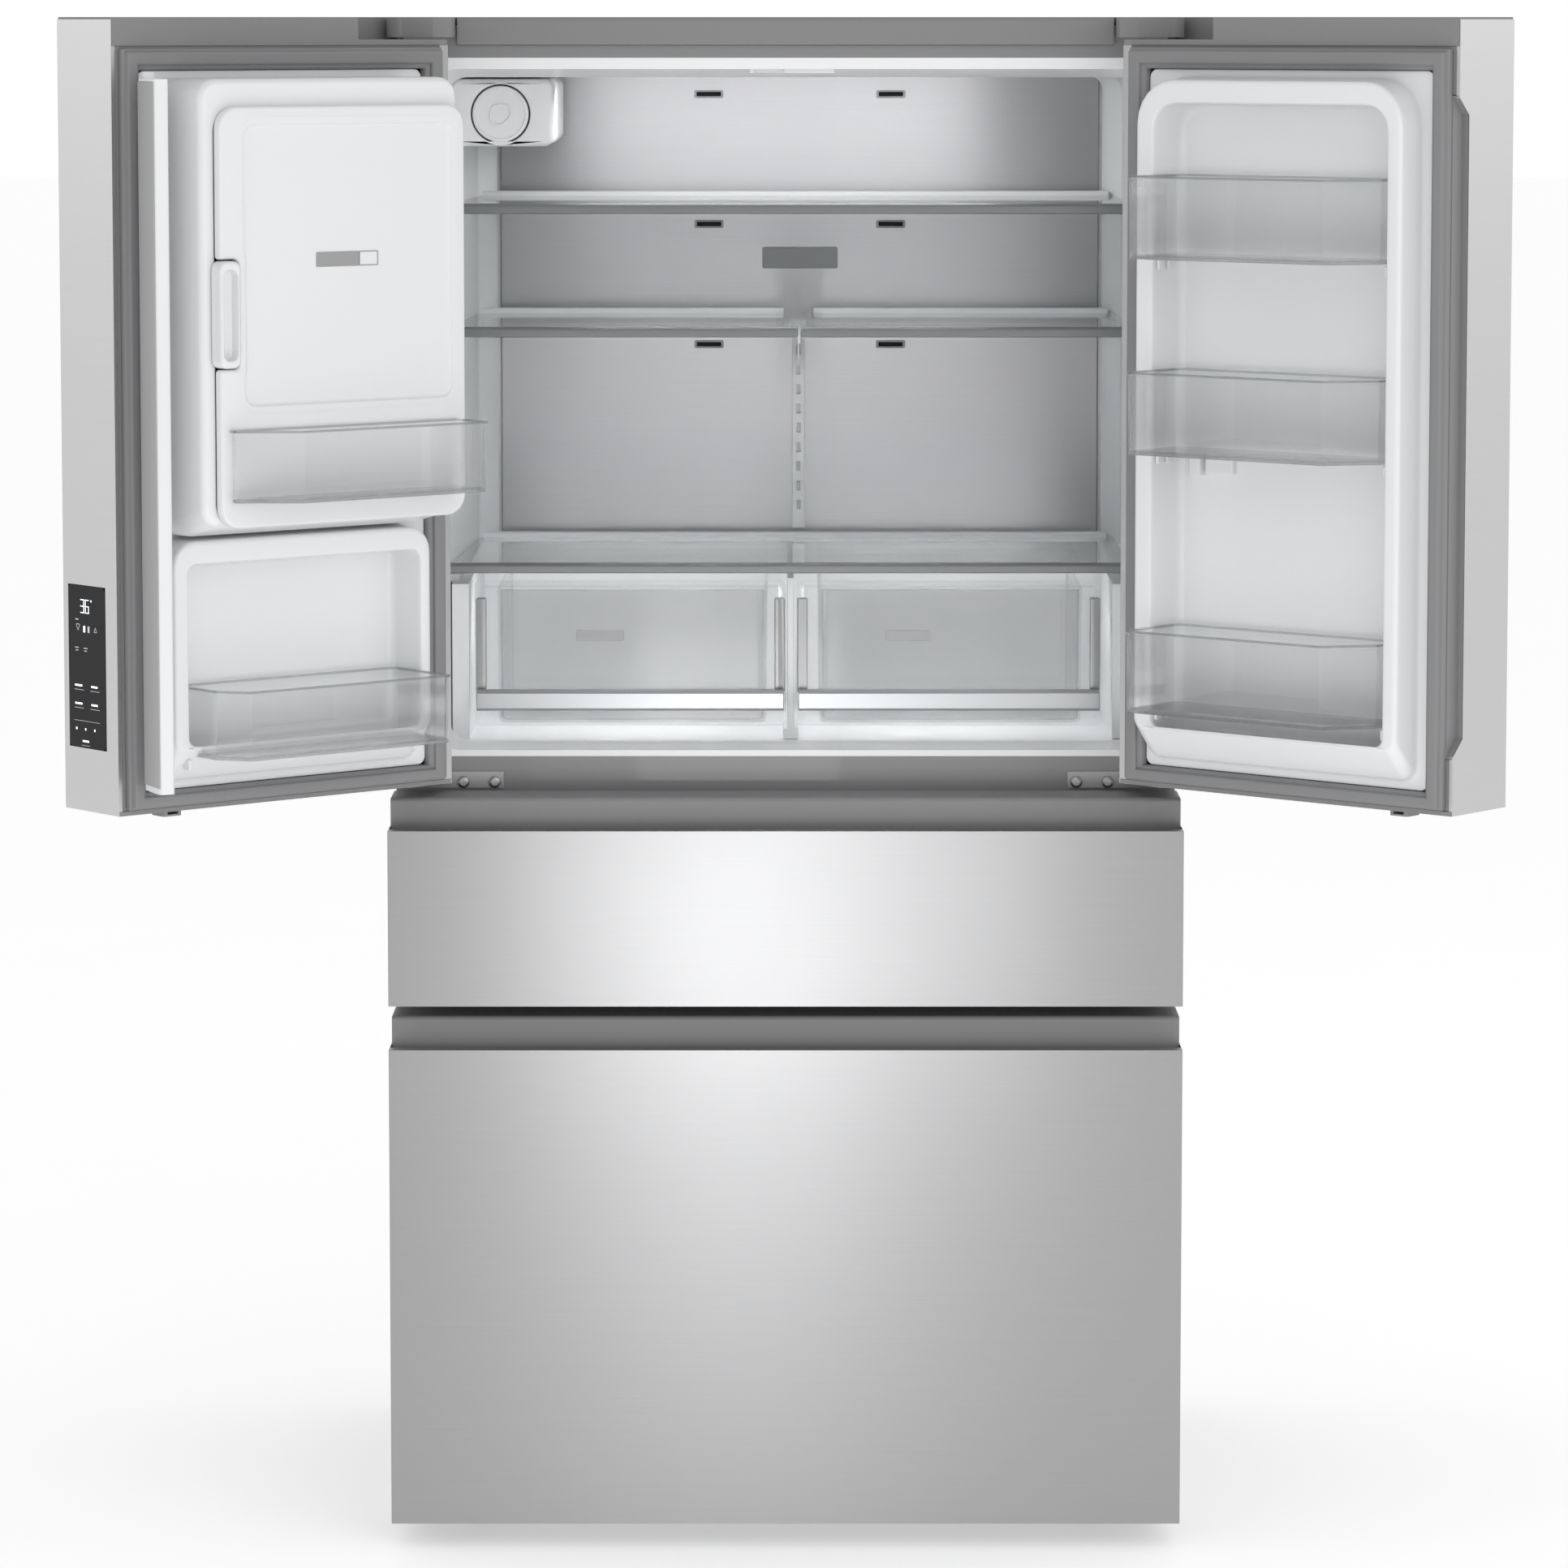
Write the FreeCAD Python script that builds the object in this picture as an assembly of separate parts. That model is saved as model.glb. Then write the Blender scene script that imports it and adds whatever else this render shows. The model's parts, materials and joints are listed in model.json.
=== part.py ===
"""Four-door french door refrigerator: one STEP file per physical piece, millimetres.

Axes: +X to the viewer's right, +Y from the front towards the back, +Z up.
While the pieces are made, Y = 0 is the plane of the drawer fronts. At the end every
piece is moved so that the origin lies on the floor at the centre of the box round the
whole refrigerator with both doors open.
Door pieces are made with the door shut, then swung open about the hinge pins.
"""
import FreeCAD
import Part
import math
import os

from FreeCAD import Vector

# ---------------------------------------------------------------- driving dimensions
WIDTH = 908.0                  # steel drawer fronts, side to side
HEIGHT = 1757.7                # floor to the top of the door caps
DEPTH = 730.0                  # drawer fronts to the back panel
CABINET_HALF = 451.0           # half width of the painted cabinet
CABINET_TOP = 1747.0
CABINET_BOTTOM = 36.0
CAP_HALF = 376.0               # half length of the trim over the top edge
FLANGE_Y = 120.0               # front flange that the gaskets seal on
FRAME_BACK = 121.4             # just behind the front frame's sheet
SHEET = 1.0                    # steel sheet
LINER = 2.0                    # liner plastic
SLACK = 0.5                    # gap between pieces that only lie side by side

DOOR_THICK = 105.0
DOOR_SEAM = 4.0                # gap between the two shut doors
DOOR_BOTTOM = 891.0
DOOR_EDGE = WIDTH / 2          # hinge-side edge of a door
DOOR_WIDTH = DOOR_EDGE - DOOR_SEAM / 2
SKIN_TOP = 1755.4
CAP_JOINT = 1726.4             # joint between door skin and top cap on the inner side
HINGE_X = 438.0
HINGE_Y = 33.0
DOOR_OPEN = 140.0              # degrees, the door's stop
GASKET_THICK = 13.5

MOUTH_LEFT = -402.0            # fridge compartment, inner faces at the mouth
MOUTH_RIGHT = 418.0
BACK_LEFT = -379.0             # and near the back
BACK_RIGHT = 414.6
PANEL_LEFT = -353.0            # stainless duct panel on the back wall
PANEL_RIGHT = 388.0
FRIDGE_BACK = 645.0
FRIDGE_FLOOR = 911.0
FRIDGE_CEILING = 1688.0
MOUTH_TOP = 1700.0             # underside of the white lip over the mouth
MOUTH_HEAD = 1711.8            # edge of the grey frame above it
MOUTH_SILL = 905.0             # and below the floor's lip
SHELF_FRONT = 226.0
SHELF_BACK = 636.0
CRISPER_FRONT = 235.0

FLEX_BOTTOM = 632.0            # upper drawer's steel front
FLEX_TOP = 834.0
FLEX_POCKET_TOP = 867.5
FREEZER_BOTTOM = 29.4          # lower drawer's steel front
FREEZER_TOP = 581.6
FREEZER_POCKET_TOP = 614.8
CAVITY_HALF = 402.0            # half width of the two drawer compartments
MACHINE_FRONT = 500.0          # machine compartment behind the freezer
MACHINE_TOP = 300.0

PIN_RADIUS = 6.0
PIN_CLEARANCE = 0.06

parts = {}


# ---------------------------------------------------------------- helpers
def box(x0, x1, y0, y1, z0, z1):
    """Block between two corners."""
    return Part.makeBox(x1 - x0, y1 - y0, z1 - z0, Vector(x0, y0, z0))


def cylinder(x, y, z0, z1, radius):
    """Upright cylinder."""
    return Part.makeCylinder(radius, z1 - z0, Vector(x, y, z0))


def prism_z(points, z0, z1):
    """Extrude a plan outline, given as (x, y) points, from z0 up to z1."""
    wire = Part.makePolygon([Vector(x, y, z0) for x, y in points + points[:1]])
    return Part.Face(wire).extrude(Vector(0, 0, z1 - z0))


def prism_x(points, x0, x1):
    """Extrude a side outline, given as (y, z) points, from x0 to x1."""
    wire = Part.makePolygon([Vector(x0, y, z) for y, z in points + points[:1]])
    return Part.Face(wire).extrude(Vector(x1 - x0, 0, 0))


def round_box(x0, x1, y0, y1, z0, z1, radius, axis="z"):
    """Block whose four edges along one axis are rounded."""
    block = box(x0, x1, y0, y1, z0, z1)
    return round_edges(block, radius, axis)


def round_edges(shape, radius, axis="z"):
    """Round every straight edge of a shape that runs along one axis."""
    along = {"x": Vector(1, 0, 0), "y": Vector(0, 1, 0), "z": Vector(0, 0, 1)}[axis]
    edges = []
    for edge in shape.Edges:
        if len(edge.Vertexes) == 2:
            run = edge.Vertexes[1].Point - edge.Vertexes[0].Point
            if abs(abs(run.dot(along)) - run.Length) < 1e-6:
                edges.append(edge)
    return shape.makeFillet(radius, edges)


def tub(outline, z0, z1, wall, floor, corner):
    """Open-topped tray with an upright wall along a plan outline."""
    outer = round_edges(prism_z(outline, z0, z1), corner)
    wire = Part.makePolygon([Vector(x, y, z0 + floor) for x, y in outline + outline[:1]])
    inner_face = Part.Face(wire).makeOffset2D(-wall)
    inner = inner_face.extrude(Vector(0, 0, z1 - z0))
    return outer.cut(round_edges(inner, corner - wall))


def box_tub(x0, x1, y0, y1, z0, z1, wall, corner):
    """Open-topped rectangular tray."""
    return tub([(x0, y0), (x1, y0), (x1, y1), (x0, y1)], z0, z1, wall, wall, corner)


def both_sides(shape):
    """The shape and its mirror image, as one list of solids."""
    return [shape, mirrored(shape)]


def mirrored(shape):
    return shape.mirror(Vector(0, 0, 0), Vector(1, 0, 0))


def group(shapes):
    """Separate solids kept together in one piece file."""
    solids = [solid for shape in shapes for solid in shape.Solids]
    return Part.Compound(solids)


def swing_open(shape, side):
    """Turn a shut door piece about its hinge pins to the open stop."""
    opened = shape.copy()
    angle = -DOOR_OPEN if side == "left" else DOOR_OPEN
    x = -HINGE_X if side == "left" else HINGE_X
    opened.rotate(Vector(x, HINGE_Y, 0), Vector(0, 0, 1), angle)
    return opened


def add(name, shape):
    parts[name] = shape


def add_door(side, name, shape):
    """Store a piece that was made on the shut left door, on either door, swung open."""
    placed = shape if side == "left" else mirrored(shape)
    add(name, swing_open(placed, side))


def from_hinge(u):
    """X on the shut left door at distance u from its hinge-side edge."""
    return -DOOR_EDGE + u


def inward(p):
    """Y at distance p proud of the door's inner face."""
    return DOOR_THICK + p


# ---------------------------------------------------------------- cabinet
def fridge_space(grow):
    """Inside of the fridge compartment, grown by the given amount."""
    plan = [
        (MOUTH_LEFT - grow, FLANGE_Y - 10),
        (MOUTH_RIGHT + grow, FLANGE_Y - 10),
        (BACK_RIGHT + grow, 600),
        (PANEL_RIGHT + grow, FRIDGE_BACK + grow),
        (PANEL_LEFT - grow, FRIDGE_BACK + grow),
        (BACK_LEFT - grow, 600),
    ]
    profile = [
        (FLANGE_Y - 10, FRIDGE_FLOOR - grow),
        (FRIDGE_BACK + 10, FRIDGE_FLOOR - grow),
        (FRIDGE_BACK + 10, FRIDGE_CEILING + grow),
        (235, FRIDGE_CEILING + grow),
        (150, MOUTH_TOP + grow),
        (FLANGE_Y - 10, MOUTH_TOP + grow),
    ]
    upright = prism_z(plan, FRIDGE_FLOOR - 20, MOUTH_TOP + 20)
    return upright.common(prism_x(profile, -CABINET_HALF, CABINET_HALF))


def make_fridge_liner():
    """White inner box with shelf ledges, open at the front."""
    outer = fridge_space(LINER)
    keep = box(-CABINET_HALF, CABINET_HALF, FRAME_BACK, DEPTH, 0, HEIGHT)
    shell = outer.common(keep).cut(fridge_space(0))
    lip = box(MOUTH_LEFT + 0.3, MOUTH_RIGHT - 0.3, FLANGE_Y + 0.2, FRAME_BACK + 0.2,
              MOUTH_SILL + 0.3, MOUTH_HEAD - 0.3)
    shell = shell.fuse(lip.cut(fridge_space(0)))
    ledges = []
    for top in (1528.0, 1384.0, 1104.0):
        ledges.append(box(MOUTH_LEFT - 1, -384, SHELF_FRONT + 34, 590, top - 8, top))
        ledges.append(box(406, MOUTH_RIGHT + 1, SHELF_FRONT + 34, 590, top - 8, top))
    for ledge in ledges:
        shell = shell.fuse(ledge.common(fridge_space(SLACK)))
    add("fridge_liner", shell.removeSplitter())


def make_drawer_liners():
    """Liners of the upper drawer compartment and of the freezer."""
    flex = box(-CAVITY_HALF - LINER, CAVITY_HALF + LINER, FRAME_BACK, 642, 641, 854)
    flex = flex.cut(box(-CAVITY_HALF, CAVITY_HALF, FLANGE_Y, 640, 643, 852))

    def freezer_profile(grow):
        return [
            (FLANGE_Y, 78 - grow),
            (455 + grow, 78 - grow),
            (455 + grow, 335 - grow),
            (640 + grow, 335 - grow),
            (640 + grow, 592 + grow),
            (FLANGE_Y, 592 + grow),
        ]

    freezer = prism_x(freezer_profile(LINER), -CAVITY_HALF - LINER, CAVITY_HALF + LINER)
    freezer = freezer.cut(prism_x(freezer_profile(0), -CAVITY_HALF, CAVITY_HALF))
    freezer = freezer.cut(box(-WIDTH, WIDTH, 0, FRAME_BACK, 0, HEIGHT))
    add("drawer_liners", group([flex, freezer]))


def make_cabinet():
    """Painted wrapper, back panel and the foam walls between it and the liners."""
    inner_half = CABINET_HALF - SHEET
    front = FLANGE_Y + 1.2 + SLACK
    wrapper = box(-CABINET_HALF, CABINET_HALF, front, DEPTH - 3, CABINET_BOTTOM, CABINET_TOP)
    hollow = box(-inner_half, inner_half, 0, DEPTH, 0, CABINET_TOP - SHEET)
    add("cabinet_shell", wrapper.cut(hollow))

    back = box(-CABINET_HALF, CABINET_HALF, DEPTH - 2.5, DEPTH - 1.5, MACHINE_TOP + 4, CABINET_TOP)
    stiffeners = [
        box(x - 30, x + 30, DEPTH - 1.5, DEPTH, 480, 1640) for x in (-300.0, -100.0, 100.0, 300.0)
    ]
    for stiffener in stiffeners:
        back = back.fuse(stiffener)
    add("cabinet_back", back.removeSplitter())

    foam_half = inner_half - SLACK
    foam_back = DEPTH - 3.5
    gap = LINER + SLACK
    left_upper = [
        (-foam_half, front),
        (MOUTH_LEFT - gap, front),
        (BACK_LEFT - gap, 600),
        (BACK_LEFT - gap, foam_back),
        (-foam_half, foam_back),
    ]
    right_upper = [
        (foam_half, front),
        (foam_half, foam_back),
        (BACK_RIGHT + gap, foam_back),
        (BACK_RIGHT + gap, 600),
        (MOUTH_RIGHT + gap, front),
    ]
    side = CAVITY_HALF + gap
    walls = [
        prism_z(left_upper, 908, 1703),
        prism_z(right_upper, 908, 1703),
        box(BACK_LEFT - gap, BACK_RIGHT + gap, FRIDGE_BACK + gap, foam_back, 908, 1703),
        box(-foam_half, foam_half, front, foam_back, 1703, CABINET_TOP - SHEET - SLACK),
        box(-foam_half, foam_half, front, foam_back, 855, 908),
        box(-foam_half, -side, front, foam_back, 640, 855),
        box(side, foam_half, front, foam_back, 640, 855),
        box(-side, side, 643, foam_back, 640, 855),
        box(-foam_half, foam_half, front, foam_back, 595, 640),
        box(-foam_half, -side, front, foam_back, MACHINE_TOP + 4, 595),
        box(side, foam_half, front, foam_back, MACHINE_TOP + 4, 595),
        box(-side, side, 643, foam_back, 333, 595),
        box(-side, side, 458, foam_back, MACHINE_TOP + 4, 332),
        box(-foam_half, -side, front, MACHINE_FRONT, 50, MACHINE_TOP + 4),
        box(side, foam_half, front, MACHINE_FRONT, 50, MACHINE_TOP + 4),
        box(-side, side, 458, MACHINE_FRONT, 75, MACHINE_TOP + 4),
        box(-side, side, front, MACHINE_FRONT, 50, 75),
    ]
    add("cabinet_insulation", group(walls))


def make_front_frame():
    """Grey face of the cabinet round the three compartments."""
    plate = box(-CABINET_HALF, CABINET_HALF, FLANGE_Y, FLANGE_Y + 1.2, 40, CABINET_TOP - SHEET)
    top_cap_space = box(-CAP_HALF - SLACK, CAP_HALF + SLACK, 0, DEPTH, 1725.5, HEIGHT)
    plate = plate.cut(top_cap_space)
    fridge_mouth = box(MOUTH_LEFT, MOUTH_RIGHT, 0, DEPTH, MOUTH_SILL, MOUTH_HEAD)
    flex_mouth = box(-CAVITY_HALF, CAVITY_HALF, 0, DEPTH, 643, 852)
    freezer_mouth = box(-CAVITY_HALF, CAVITY_HALF, 0, DEPTH, 78, 592)
    for mouth in (fridge_mouth, flex_mouth, freezer_mouth):
        plate = plate.cut(mouth)
    add("front_frame", plate)


def make_top():
    """Trim along the cabinet's top front edge, hinge covers, hinges and their screws."""
    cap_profile = [
        (113, 1726),
        (119.5, 1726),
        (119.5, CABINET_TOP + SLACK),
        (210, CABINET_TOP + SLACK),
        (206, HEIGHT),
        (116, HEIGHT),
        (113, HEIGHT - 3),
    ]
    add("top_cap", prism_x(cap_profile, -CAP_HALF, CAP_HALF))

    nose = 13.0
    cover_plan = [
        (-HINGE_X - 12, 214),
        (-HINGE_X - 12, HINGE_Y + 48),
        (-HINGE_X - 2, HINGE_Y + 31),
        (-HINGE_X + 2, HINGE_Y + 20),
        (-HINGE_X + 2, HINGE_Y - nose + 1),
        (-HINGE_X + 40, HINGE_Y - nose + 1),
        (-378, HINGE_Y + 4),
        (-378, 214),
    ]
    cover = prism_z(cover_plan, 1735, HEIGHT)
    cover = cover.fuse(cylinder(-HINGE_X, HINGE_Y, 1735, HEIGHT, nose)).removeSplitter()
    cabinet_edge = box(-CABINET_HALF, CABINET_HALF, FLANGE_Y - 1, 300, 1700, CABINET_TOP + SLACK)

    arm_plan = [
        (-HINGE_X - 8, 204),
        (-HINGE_X - 8, HINGE_Y + 53),
        (-HINGE_X + 6, HINGE_Y + 27),
        (-HINGE_X + 6, HINGE_Y - 7),
        (-HINGE_X + 40, HINGE_Y - 7),
        (-384, HINGE_Y + 6),
        (-384, 204),
    ]
    wire = Part.makePolygon([Vector(x, y, 1700) for x, y in arm_plan + arm_plan[:1]])
    hollow = Part.Face(wire).makeOffset2D(0.8).extrude(Vector(0, 0, 50))
    hollow = hollow.fuse(cylinder(-HINGE_X, HINGE_Y, 1700, 1750, nose - 2.5))
    cover = cover.cut(hollow).cut(cabinet_edge)
    add("hinge_covers", group(both_sides(cover.removeSplitter())))

    arm = prism_z(arm_plan, CABINET_TOP + SLACK - 4.5, CABINET_TOP + SLACK - 0.5)
    step = prism_z(arm_plan, CABINET_TOP + SLACK, CABINET_TOP + SLACK + 1.0)
    top_hinge = arm.cut(box(-WIDTH, WIDTH, FLANGE_Y - 2, DEPTH, 0, HEIGHT))
    top_hinge = top_hinge.fuse(step.cut(box(-WIDTH, WIDTH, 0, FLANGE_Y - 6, 0, HEIGHT)))
    riser = box(-HINGE_X - 8, -384, FLANGE_Y - 6, FLANGE_Y - 2, 1743, CABINET_TOP + SLACK + 1.0)
    top_hinge = top_hinge.fuse(riser)
    top_hinge = top_hinge.fuse(cylinder(-HINGE_X, HINGE_Y, 1743, 1747, 9.5))
    top_hinge = top_hinge.fuse(cylinder(-HINGE_X, HINGE_Y, 1708, 1743, PIN_RADIUS))
    add("top_hinges", group(both_sides(top_hinge.removeSplitter())))

    plate = box(-446, -326.5, FLANGE_Y - 3, FLANGE_Y - 0.3, 869, 888)
    foot = prism_z(
        [
            (-446, FLANGE_Y - 3),
            (-HINGE_X - 8, HINGE_Y - 6),
            (-HINGE_X + 10, HINGE_Y - 10),
            (-400, HINGE_Y + 24),
            (-386, FLANGE_Y - 3),
        ],
        881,
        885,
    )
    middle_hinge = plate.fuse(foot).fuse(cylinder(-HINGE_X, HINGE_Y, 881, 912, PIN_RADIUS))
    add("middle_hinges", group(both_sides(middle_hinge.removeSplitter())))

    screws = []
    for x in (-336.7, -373.0):
        screws.append(phillips_screw(x, FLANGE_Y - 3, 876))
    add("hinge_screws", group([screw for item in screws for screw in both_sides(item)]))


def phillips_screw(x, y, z):
    """Pan-head cross-recess screw, its head standing off a wall towards -Y."""
    head = Part.makeCylinder(6.8, 2.2, Vector(x, y, z), Vector(0, -1, 0))
    dome = Part.makeCone(6.8, 4.2, 1.2, Vector(x, y - 2.2, z), Vector(0, -1, 0))
    screw = head.fuse(dome).removeSplitter()
    for length, height in ((7.0, 1.4), (1.4, 7.0)):
        slot = box(x - length / 2, x + length / 2, y - 4, y - 1.6, z - height / 2, z + height / 2)
        screw = screw.cut(slot)
    return screw


# ---------------------------------------------------------------- fridge interior
def make_interior():
    """Duct panel, shelves, shelf track, water filter, mullion guide and crisper frame."""
    panel_centre = (PANEL_LEFT + PANEL_RIGHT) / 2
    panel = round_box(PANEL_LEFT + 2, PANEL_RIGHT - 2, 640, 642, 1096, 1685, 8, "y")
    vents = []
    for z in (1663.4, 1503.5, 1355.0):
        for x in (-94.5, 130.0):
            vents.append((x, z))
    for x, z in vents:
        panel = panel.cut(box(x - 15.5, x + 15.5, 630, 650, z - 3, z + 3))
    add("duct_panel", panel)

    wide = [make_shelf(-398.5, 414.0, 1541), make_shelf(-397.0, 413.5, 1120)]
    halves = [make_shelf(-398.5, 14.5, 1397), make_shelf(17.5, 414.0, 1397)]
    add("shelf_glass", group([pane for pane, trim in wide + halves]))
    add("wide_shelf_trims", group([trim for pane, trim in wide]))
    add("half_shelf_trims", group([trim for pane, trim in halves]))

    track = box(panel_centre - 9, panel_centre + 6, 632, 639.5, 1128, 1372)
    for index in range(9):
        z = 1150 + 24 * index
        track = track.cut(box(panel_centre - 4, panel_centre + 1, 620, 638, z, z + 12))
    blade = prism_x(
        [(300, 1381), (632, 1381), (632, 1330), (600, 1330), (560, 1366), (300, 1374)],
        panel_centre - 3,
        panel_centre,
    )
    carrier = box(panel_centre - 25, panel_centre + 21, 300, 626, 1381, 1383.5)
    add("shelf_track", track.fuse(blade).fuse(carrier).removeSplitter())

    housing = round_box(-378.0, -271, 250, 560, 1607, 1686, 12, "y")
    housing = housing.cut(Part.makeCylinder(36, 200, Vector(-333, 249, 1645), Vector(0, 1, 0)))
    add("filter_housing", housing)
    cap = Part.makeCylinder(33, 14, Vector(-333, 248, 1645), Vector(0, 1, 0))
    cartridge = Part.makeCylinder(28, 180, Vector(-333, 261, 1645), Vector(0, 1, 0))
    grip = round_box(-339, -327, 243, 250, 1622, 1668, 4, "y")
    add("filter_cartridge", cap.fuse(cartridge).fuse(grip).removeSplitter())

    guide = box(-41, 56, FLANGE_Y + 6, 168, 1693.6, 1699.6)
    guide = guide.cut(box(-36, -2, 0, 160, 1690, 1702)).common(fridge_space(-0.2))
    add("mullion_guide", guide)

    divider = box(2, 10, CRISPER_FRONT + 6, 620, FRIDGE_FLOOR + SLACK, 1102)
    foot = box(-3, 15, CRISPER_FRONT, 620, FRIDGE_FLOOR + SLACK, 924)
    frame = divider.fuse(foot)
    left_cover = box(-392, -372, CRISPER_FRONT + 3, 600, FRIDGE_FLOOR + SLACK, 1095)
    right_cover = box(384, 404, CRISPER_FRONT + 3, 600, FRIDGE_FLOOR + SLACK, 1095)
    covers = [cover.common(fridge_space(-SLACK)) for cover in (left_cover, right_cover)]
    add("crisper_frame", group([frame.removeSplitter()] + covers))


def make_shelf(x0, x1, top):
    """One glass pane and the moulded trim round it."""
    pane = box(x0 + 8, x1 - 8, SHELF_FRONT + 8, SHELF_BACK - 20, top - 6, top - 2)
    trim = round_box(x0, x1, SHELF_FRONT, SHELF_FRONT + 14, top - 12, top, 3, "x")
    trim = trim.fuse(box(x0 + 16, x1 - 16, SHELF_BACK - 26, SHELF_BACK - 6, top - 10, top + 4))
    for x in (x0 + 16, x1 - 26):
        trim = trim.fuse(box(x, x + 10, SHELF_FRONT + 10, SHELF_BACK - 10, top - 12, top - 6.5))
    groove = box(x0 + 7.7, x1 - 7.7, SHELF_FRONT + 7.7, SHELF_BACK - 19.7, top - 6.3, top - 1.7)
    room = fridge_space(-SLACK)
    return pane.common(room), trim.cut(groove).common(room).removeSplitter()


def make_crisper(side, x0, x1):
    """Clear crisper drawer and the bar handle across its front."""
    front = round_box(x0, x1, CRISPER_FRONT, CRISPER_FRONT + 4, 928, 1099, 6, "y")
    body = box_tub(x0 + 26, x1 - 22, CRISPER_FRONT + 3, 590, 930, 1088, 3, 12)
    shell = front.fuse(body).removeSplitter()
    add("crisper_" + side, shell)
    profile = [
        (CRISPER_FRONT - 0.3, 946),
        (CRISPER_FRONT - 0.3, 971),
        (CRISPER_FRONT - 9, 971),
        (CRISPER_FRONT - 12, 967),
        (CRISPER_FRONT - 12, 949),
        (CRISPER_FRONT - 9, 946),
    ]
    bar = prism_x(profile, x0 + 2, x1 - 2)
    add("crisper_" + side + "_handle", bar)


# ---------------------------------------------------------------- doors
def door_skin(side):
    """Folded stainless sheet: front, free edge, hinge edge and inner return strips."""
    left = from_hinge(0)
    right = from_hinge(DOOR_WIDTH)
    front = box(left, right, 0, SHEET, DOOR_BOTTOM, SKIN_TOP)
    free_edge = box(right - SHEET, right, 0, DOOR_THICK, DOOR_BOTTOM, SKIN_TOP)
    hinge_edge = box(left, left + SHEET, 0, DOOR_THICK, DOOR_BOTTOM, CAP_JOINT)
    hinge_return = box(left, left + 11.5, DOOR_THICK - SHEET, DOOR_THICK, 896.2, CAP_JOINT)
    free_return = box(right - 5, right, DOOR_THICK - SHEET, DOOR_THICK, 896.2, CAP_JOINT)
    skin = front
    for strip in (free_edge, hinge_edge, hinge_return, free_return):
        skin = skin.fuse(strip)
    if side == "left":
        skin = skin.cut(alcove_block(SLACK))
        skin = skin.cut(box(right - 3, right + 1, 9.5, 82.5, 960.5, 1139.5))
    else:
        skin = skin.cut(grip_cut(right, 0))
    add_door(side, side + "_door_skin", skin.removeSplitter())


def grip_cut(right, grow):
    """Hand groove along the inner corner of the right door's free edge."""
    outline = [
        (86 - grow, 975),
        (DOOR_THICK + 1, 955 - grow),
        (DOOR_THICK + 1, 1672 + grow),
        (86 - grow, 1652),
    ]
    return prism_x(outline, right - 9 - grow, right + 1)


def alcove_block(grow):
    """Space that the dispenser housing fills in the left door."""
    return round_box(-315 - grow, -145 + grow, -1, 64 + grow, 962 - grow, 1238 + grow, 12, "y")


def door_caps(side):
    """Moulded caps that close the top and the bottom of a door."""
    left = from_hinge(SHEET + 0.2)
    right = from_hinge(DOOR_WIDTH - SHEET - 0.2)
    top = box(left, right, SHEET + 0.2, DOOR_THICK, CAP_JOINT + 0.2, HEIGHT)
    hinge_notch = box(from_hinge(-1), from_hinge(124), 14, DOOR_THICK + 1, 1732.6, HEIGHT + 1)
    top = top.cut(hinge_notch)
    top = top.fuse(cylinder(-HINGE_X, HINGE_Y, 1700, 1732, 12))
    pin_hole = cylinder(-HINGE_X, HINGE_Y, 1600, 1800, PIN_RADIUS + PIN_CLEARANCE)
    top = top.cut(pin_hole)

    bottom = box(left, right, SHEET + 0.2, DOOR_THICK, DOOR_BOTTOM, 896)
    bottom = bottom.fuse(cylinder(-HINGE_X, HINGE_Y, 886.5, 918, 12))
    stop_box = round_box(from_hinge(368), from_hinge(392), 78, 103, 885.5, 892, 3)
    slot = box(from_hinge(373), from_hinge(387), 90, 110, 887.5, 890.5)
    bottom = bottom.fuse(stop_box).cut(slot)
    low_hole = cylinder(-HINGE_X, HINGE_Y, 800, 914, PIN_RADIUS + PIN_CLEARANCE)
    bottom = bottom.cut(low_hole)
    caps = [top.removeSplitter(), bottom.removeSplitter()]
    add_door(side, side + "_door_caps", group(caps))


def door_slab(side):
    """Foam core with the liner bonded on it, without the liner's raised parts."""
    left = from_hinge(SHEET + 0.2)
    right = from_hinge(DOOR_WIDTH - SHEET - 0.2)
    slab = box(left, right, SHEET + 0.2, DOOR_THICK - SHEET - 0.2, 896.2, CAP_JOINT)
    slab = slab.cut(cylinder(-HINGE_X, HINGE_Y, 1699, 1800, 12.2))
    slab = slab.cut(cylinder(-HINGE_X, HINGE_Y, 800, 919, 12.2))
    plate = round_box(from_hinge(38), from_hinge(420), 100, inward(1), 916, 1700, 10, "y")
    slab = slab.fuse(plate)
    if side == "left":
        slab = slab.cut(alcove_block(0.3))
        slab = slab.cut(box(right - 7, right + 2, 9.5, 82.5, 960.5, 1139.5))
    else:
        slab = slab.cut(grip_cut(from_hinge(DOOR_WIDTH), 1.2))
    return slab.removeSplitter()


def liner_ring(u0, z0, z1, proud, corner):
    """Raised dike round a shallow recess, as (ring, recess) solids."""
    outer = round_box(from_hinge(u0), from_hinge(405), 100, inward(proud), z0, z1, corner, "y")
    inner = round_box(from_hinge(72), from_hinge(384), 92, inward(proud) + 1, z0 + 20, z1 - 28,
                      corner - 22, "y")
    return outer, inner


def make_right_door():
    """Right door: skin, caps, core with bin dikes, gasket and three clear bins."""
    door_skin("right")
    door_caps("right")
    ring, recess = liner_ring(46, 928, 1690, 40, 50)
    core = door_slab("right").fuse(ring).cut(recess)
    add_door("right", "right_door_core", core.removeSplitter())
    make_gasket("right")
    bins = []
    for z0 in (1491.0, 1274.0, 986.0):
        bins.append(door_bin(76, 341, 383, 96, 45, z0, z0 + 92))
    add_door("right", "right_door_bins", group(bins))


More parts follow.
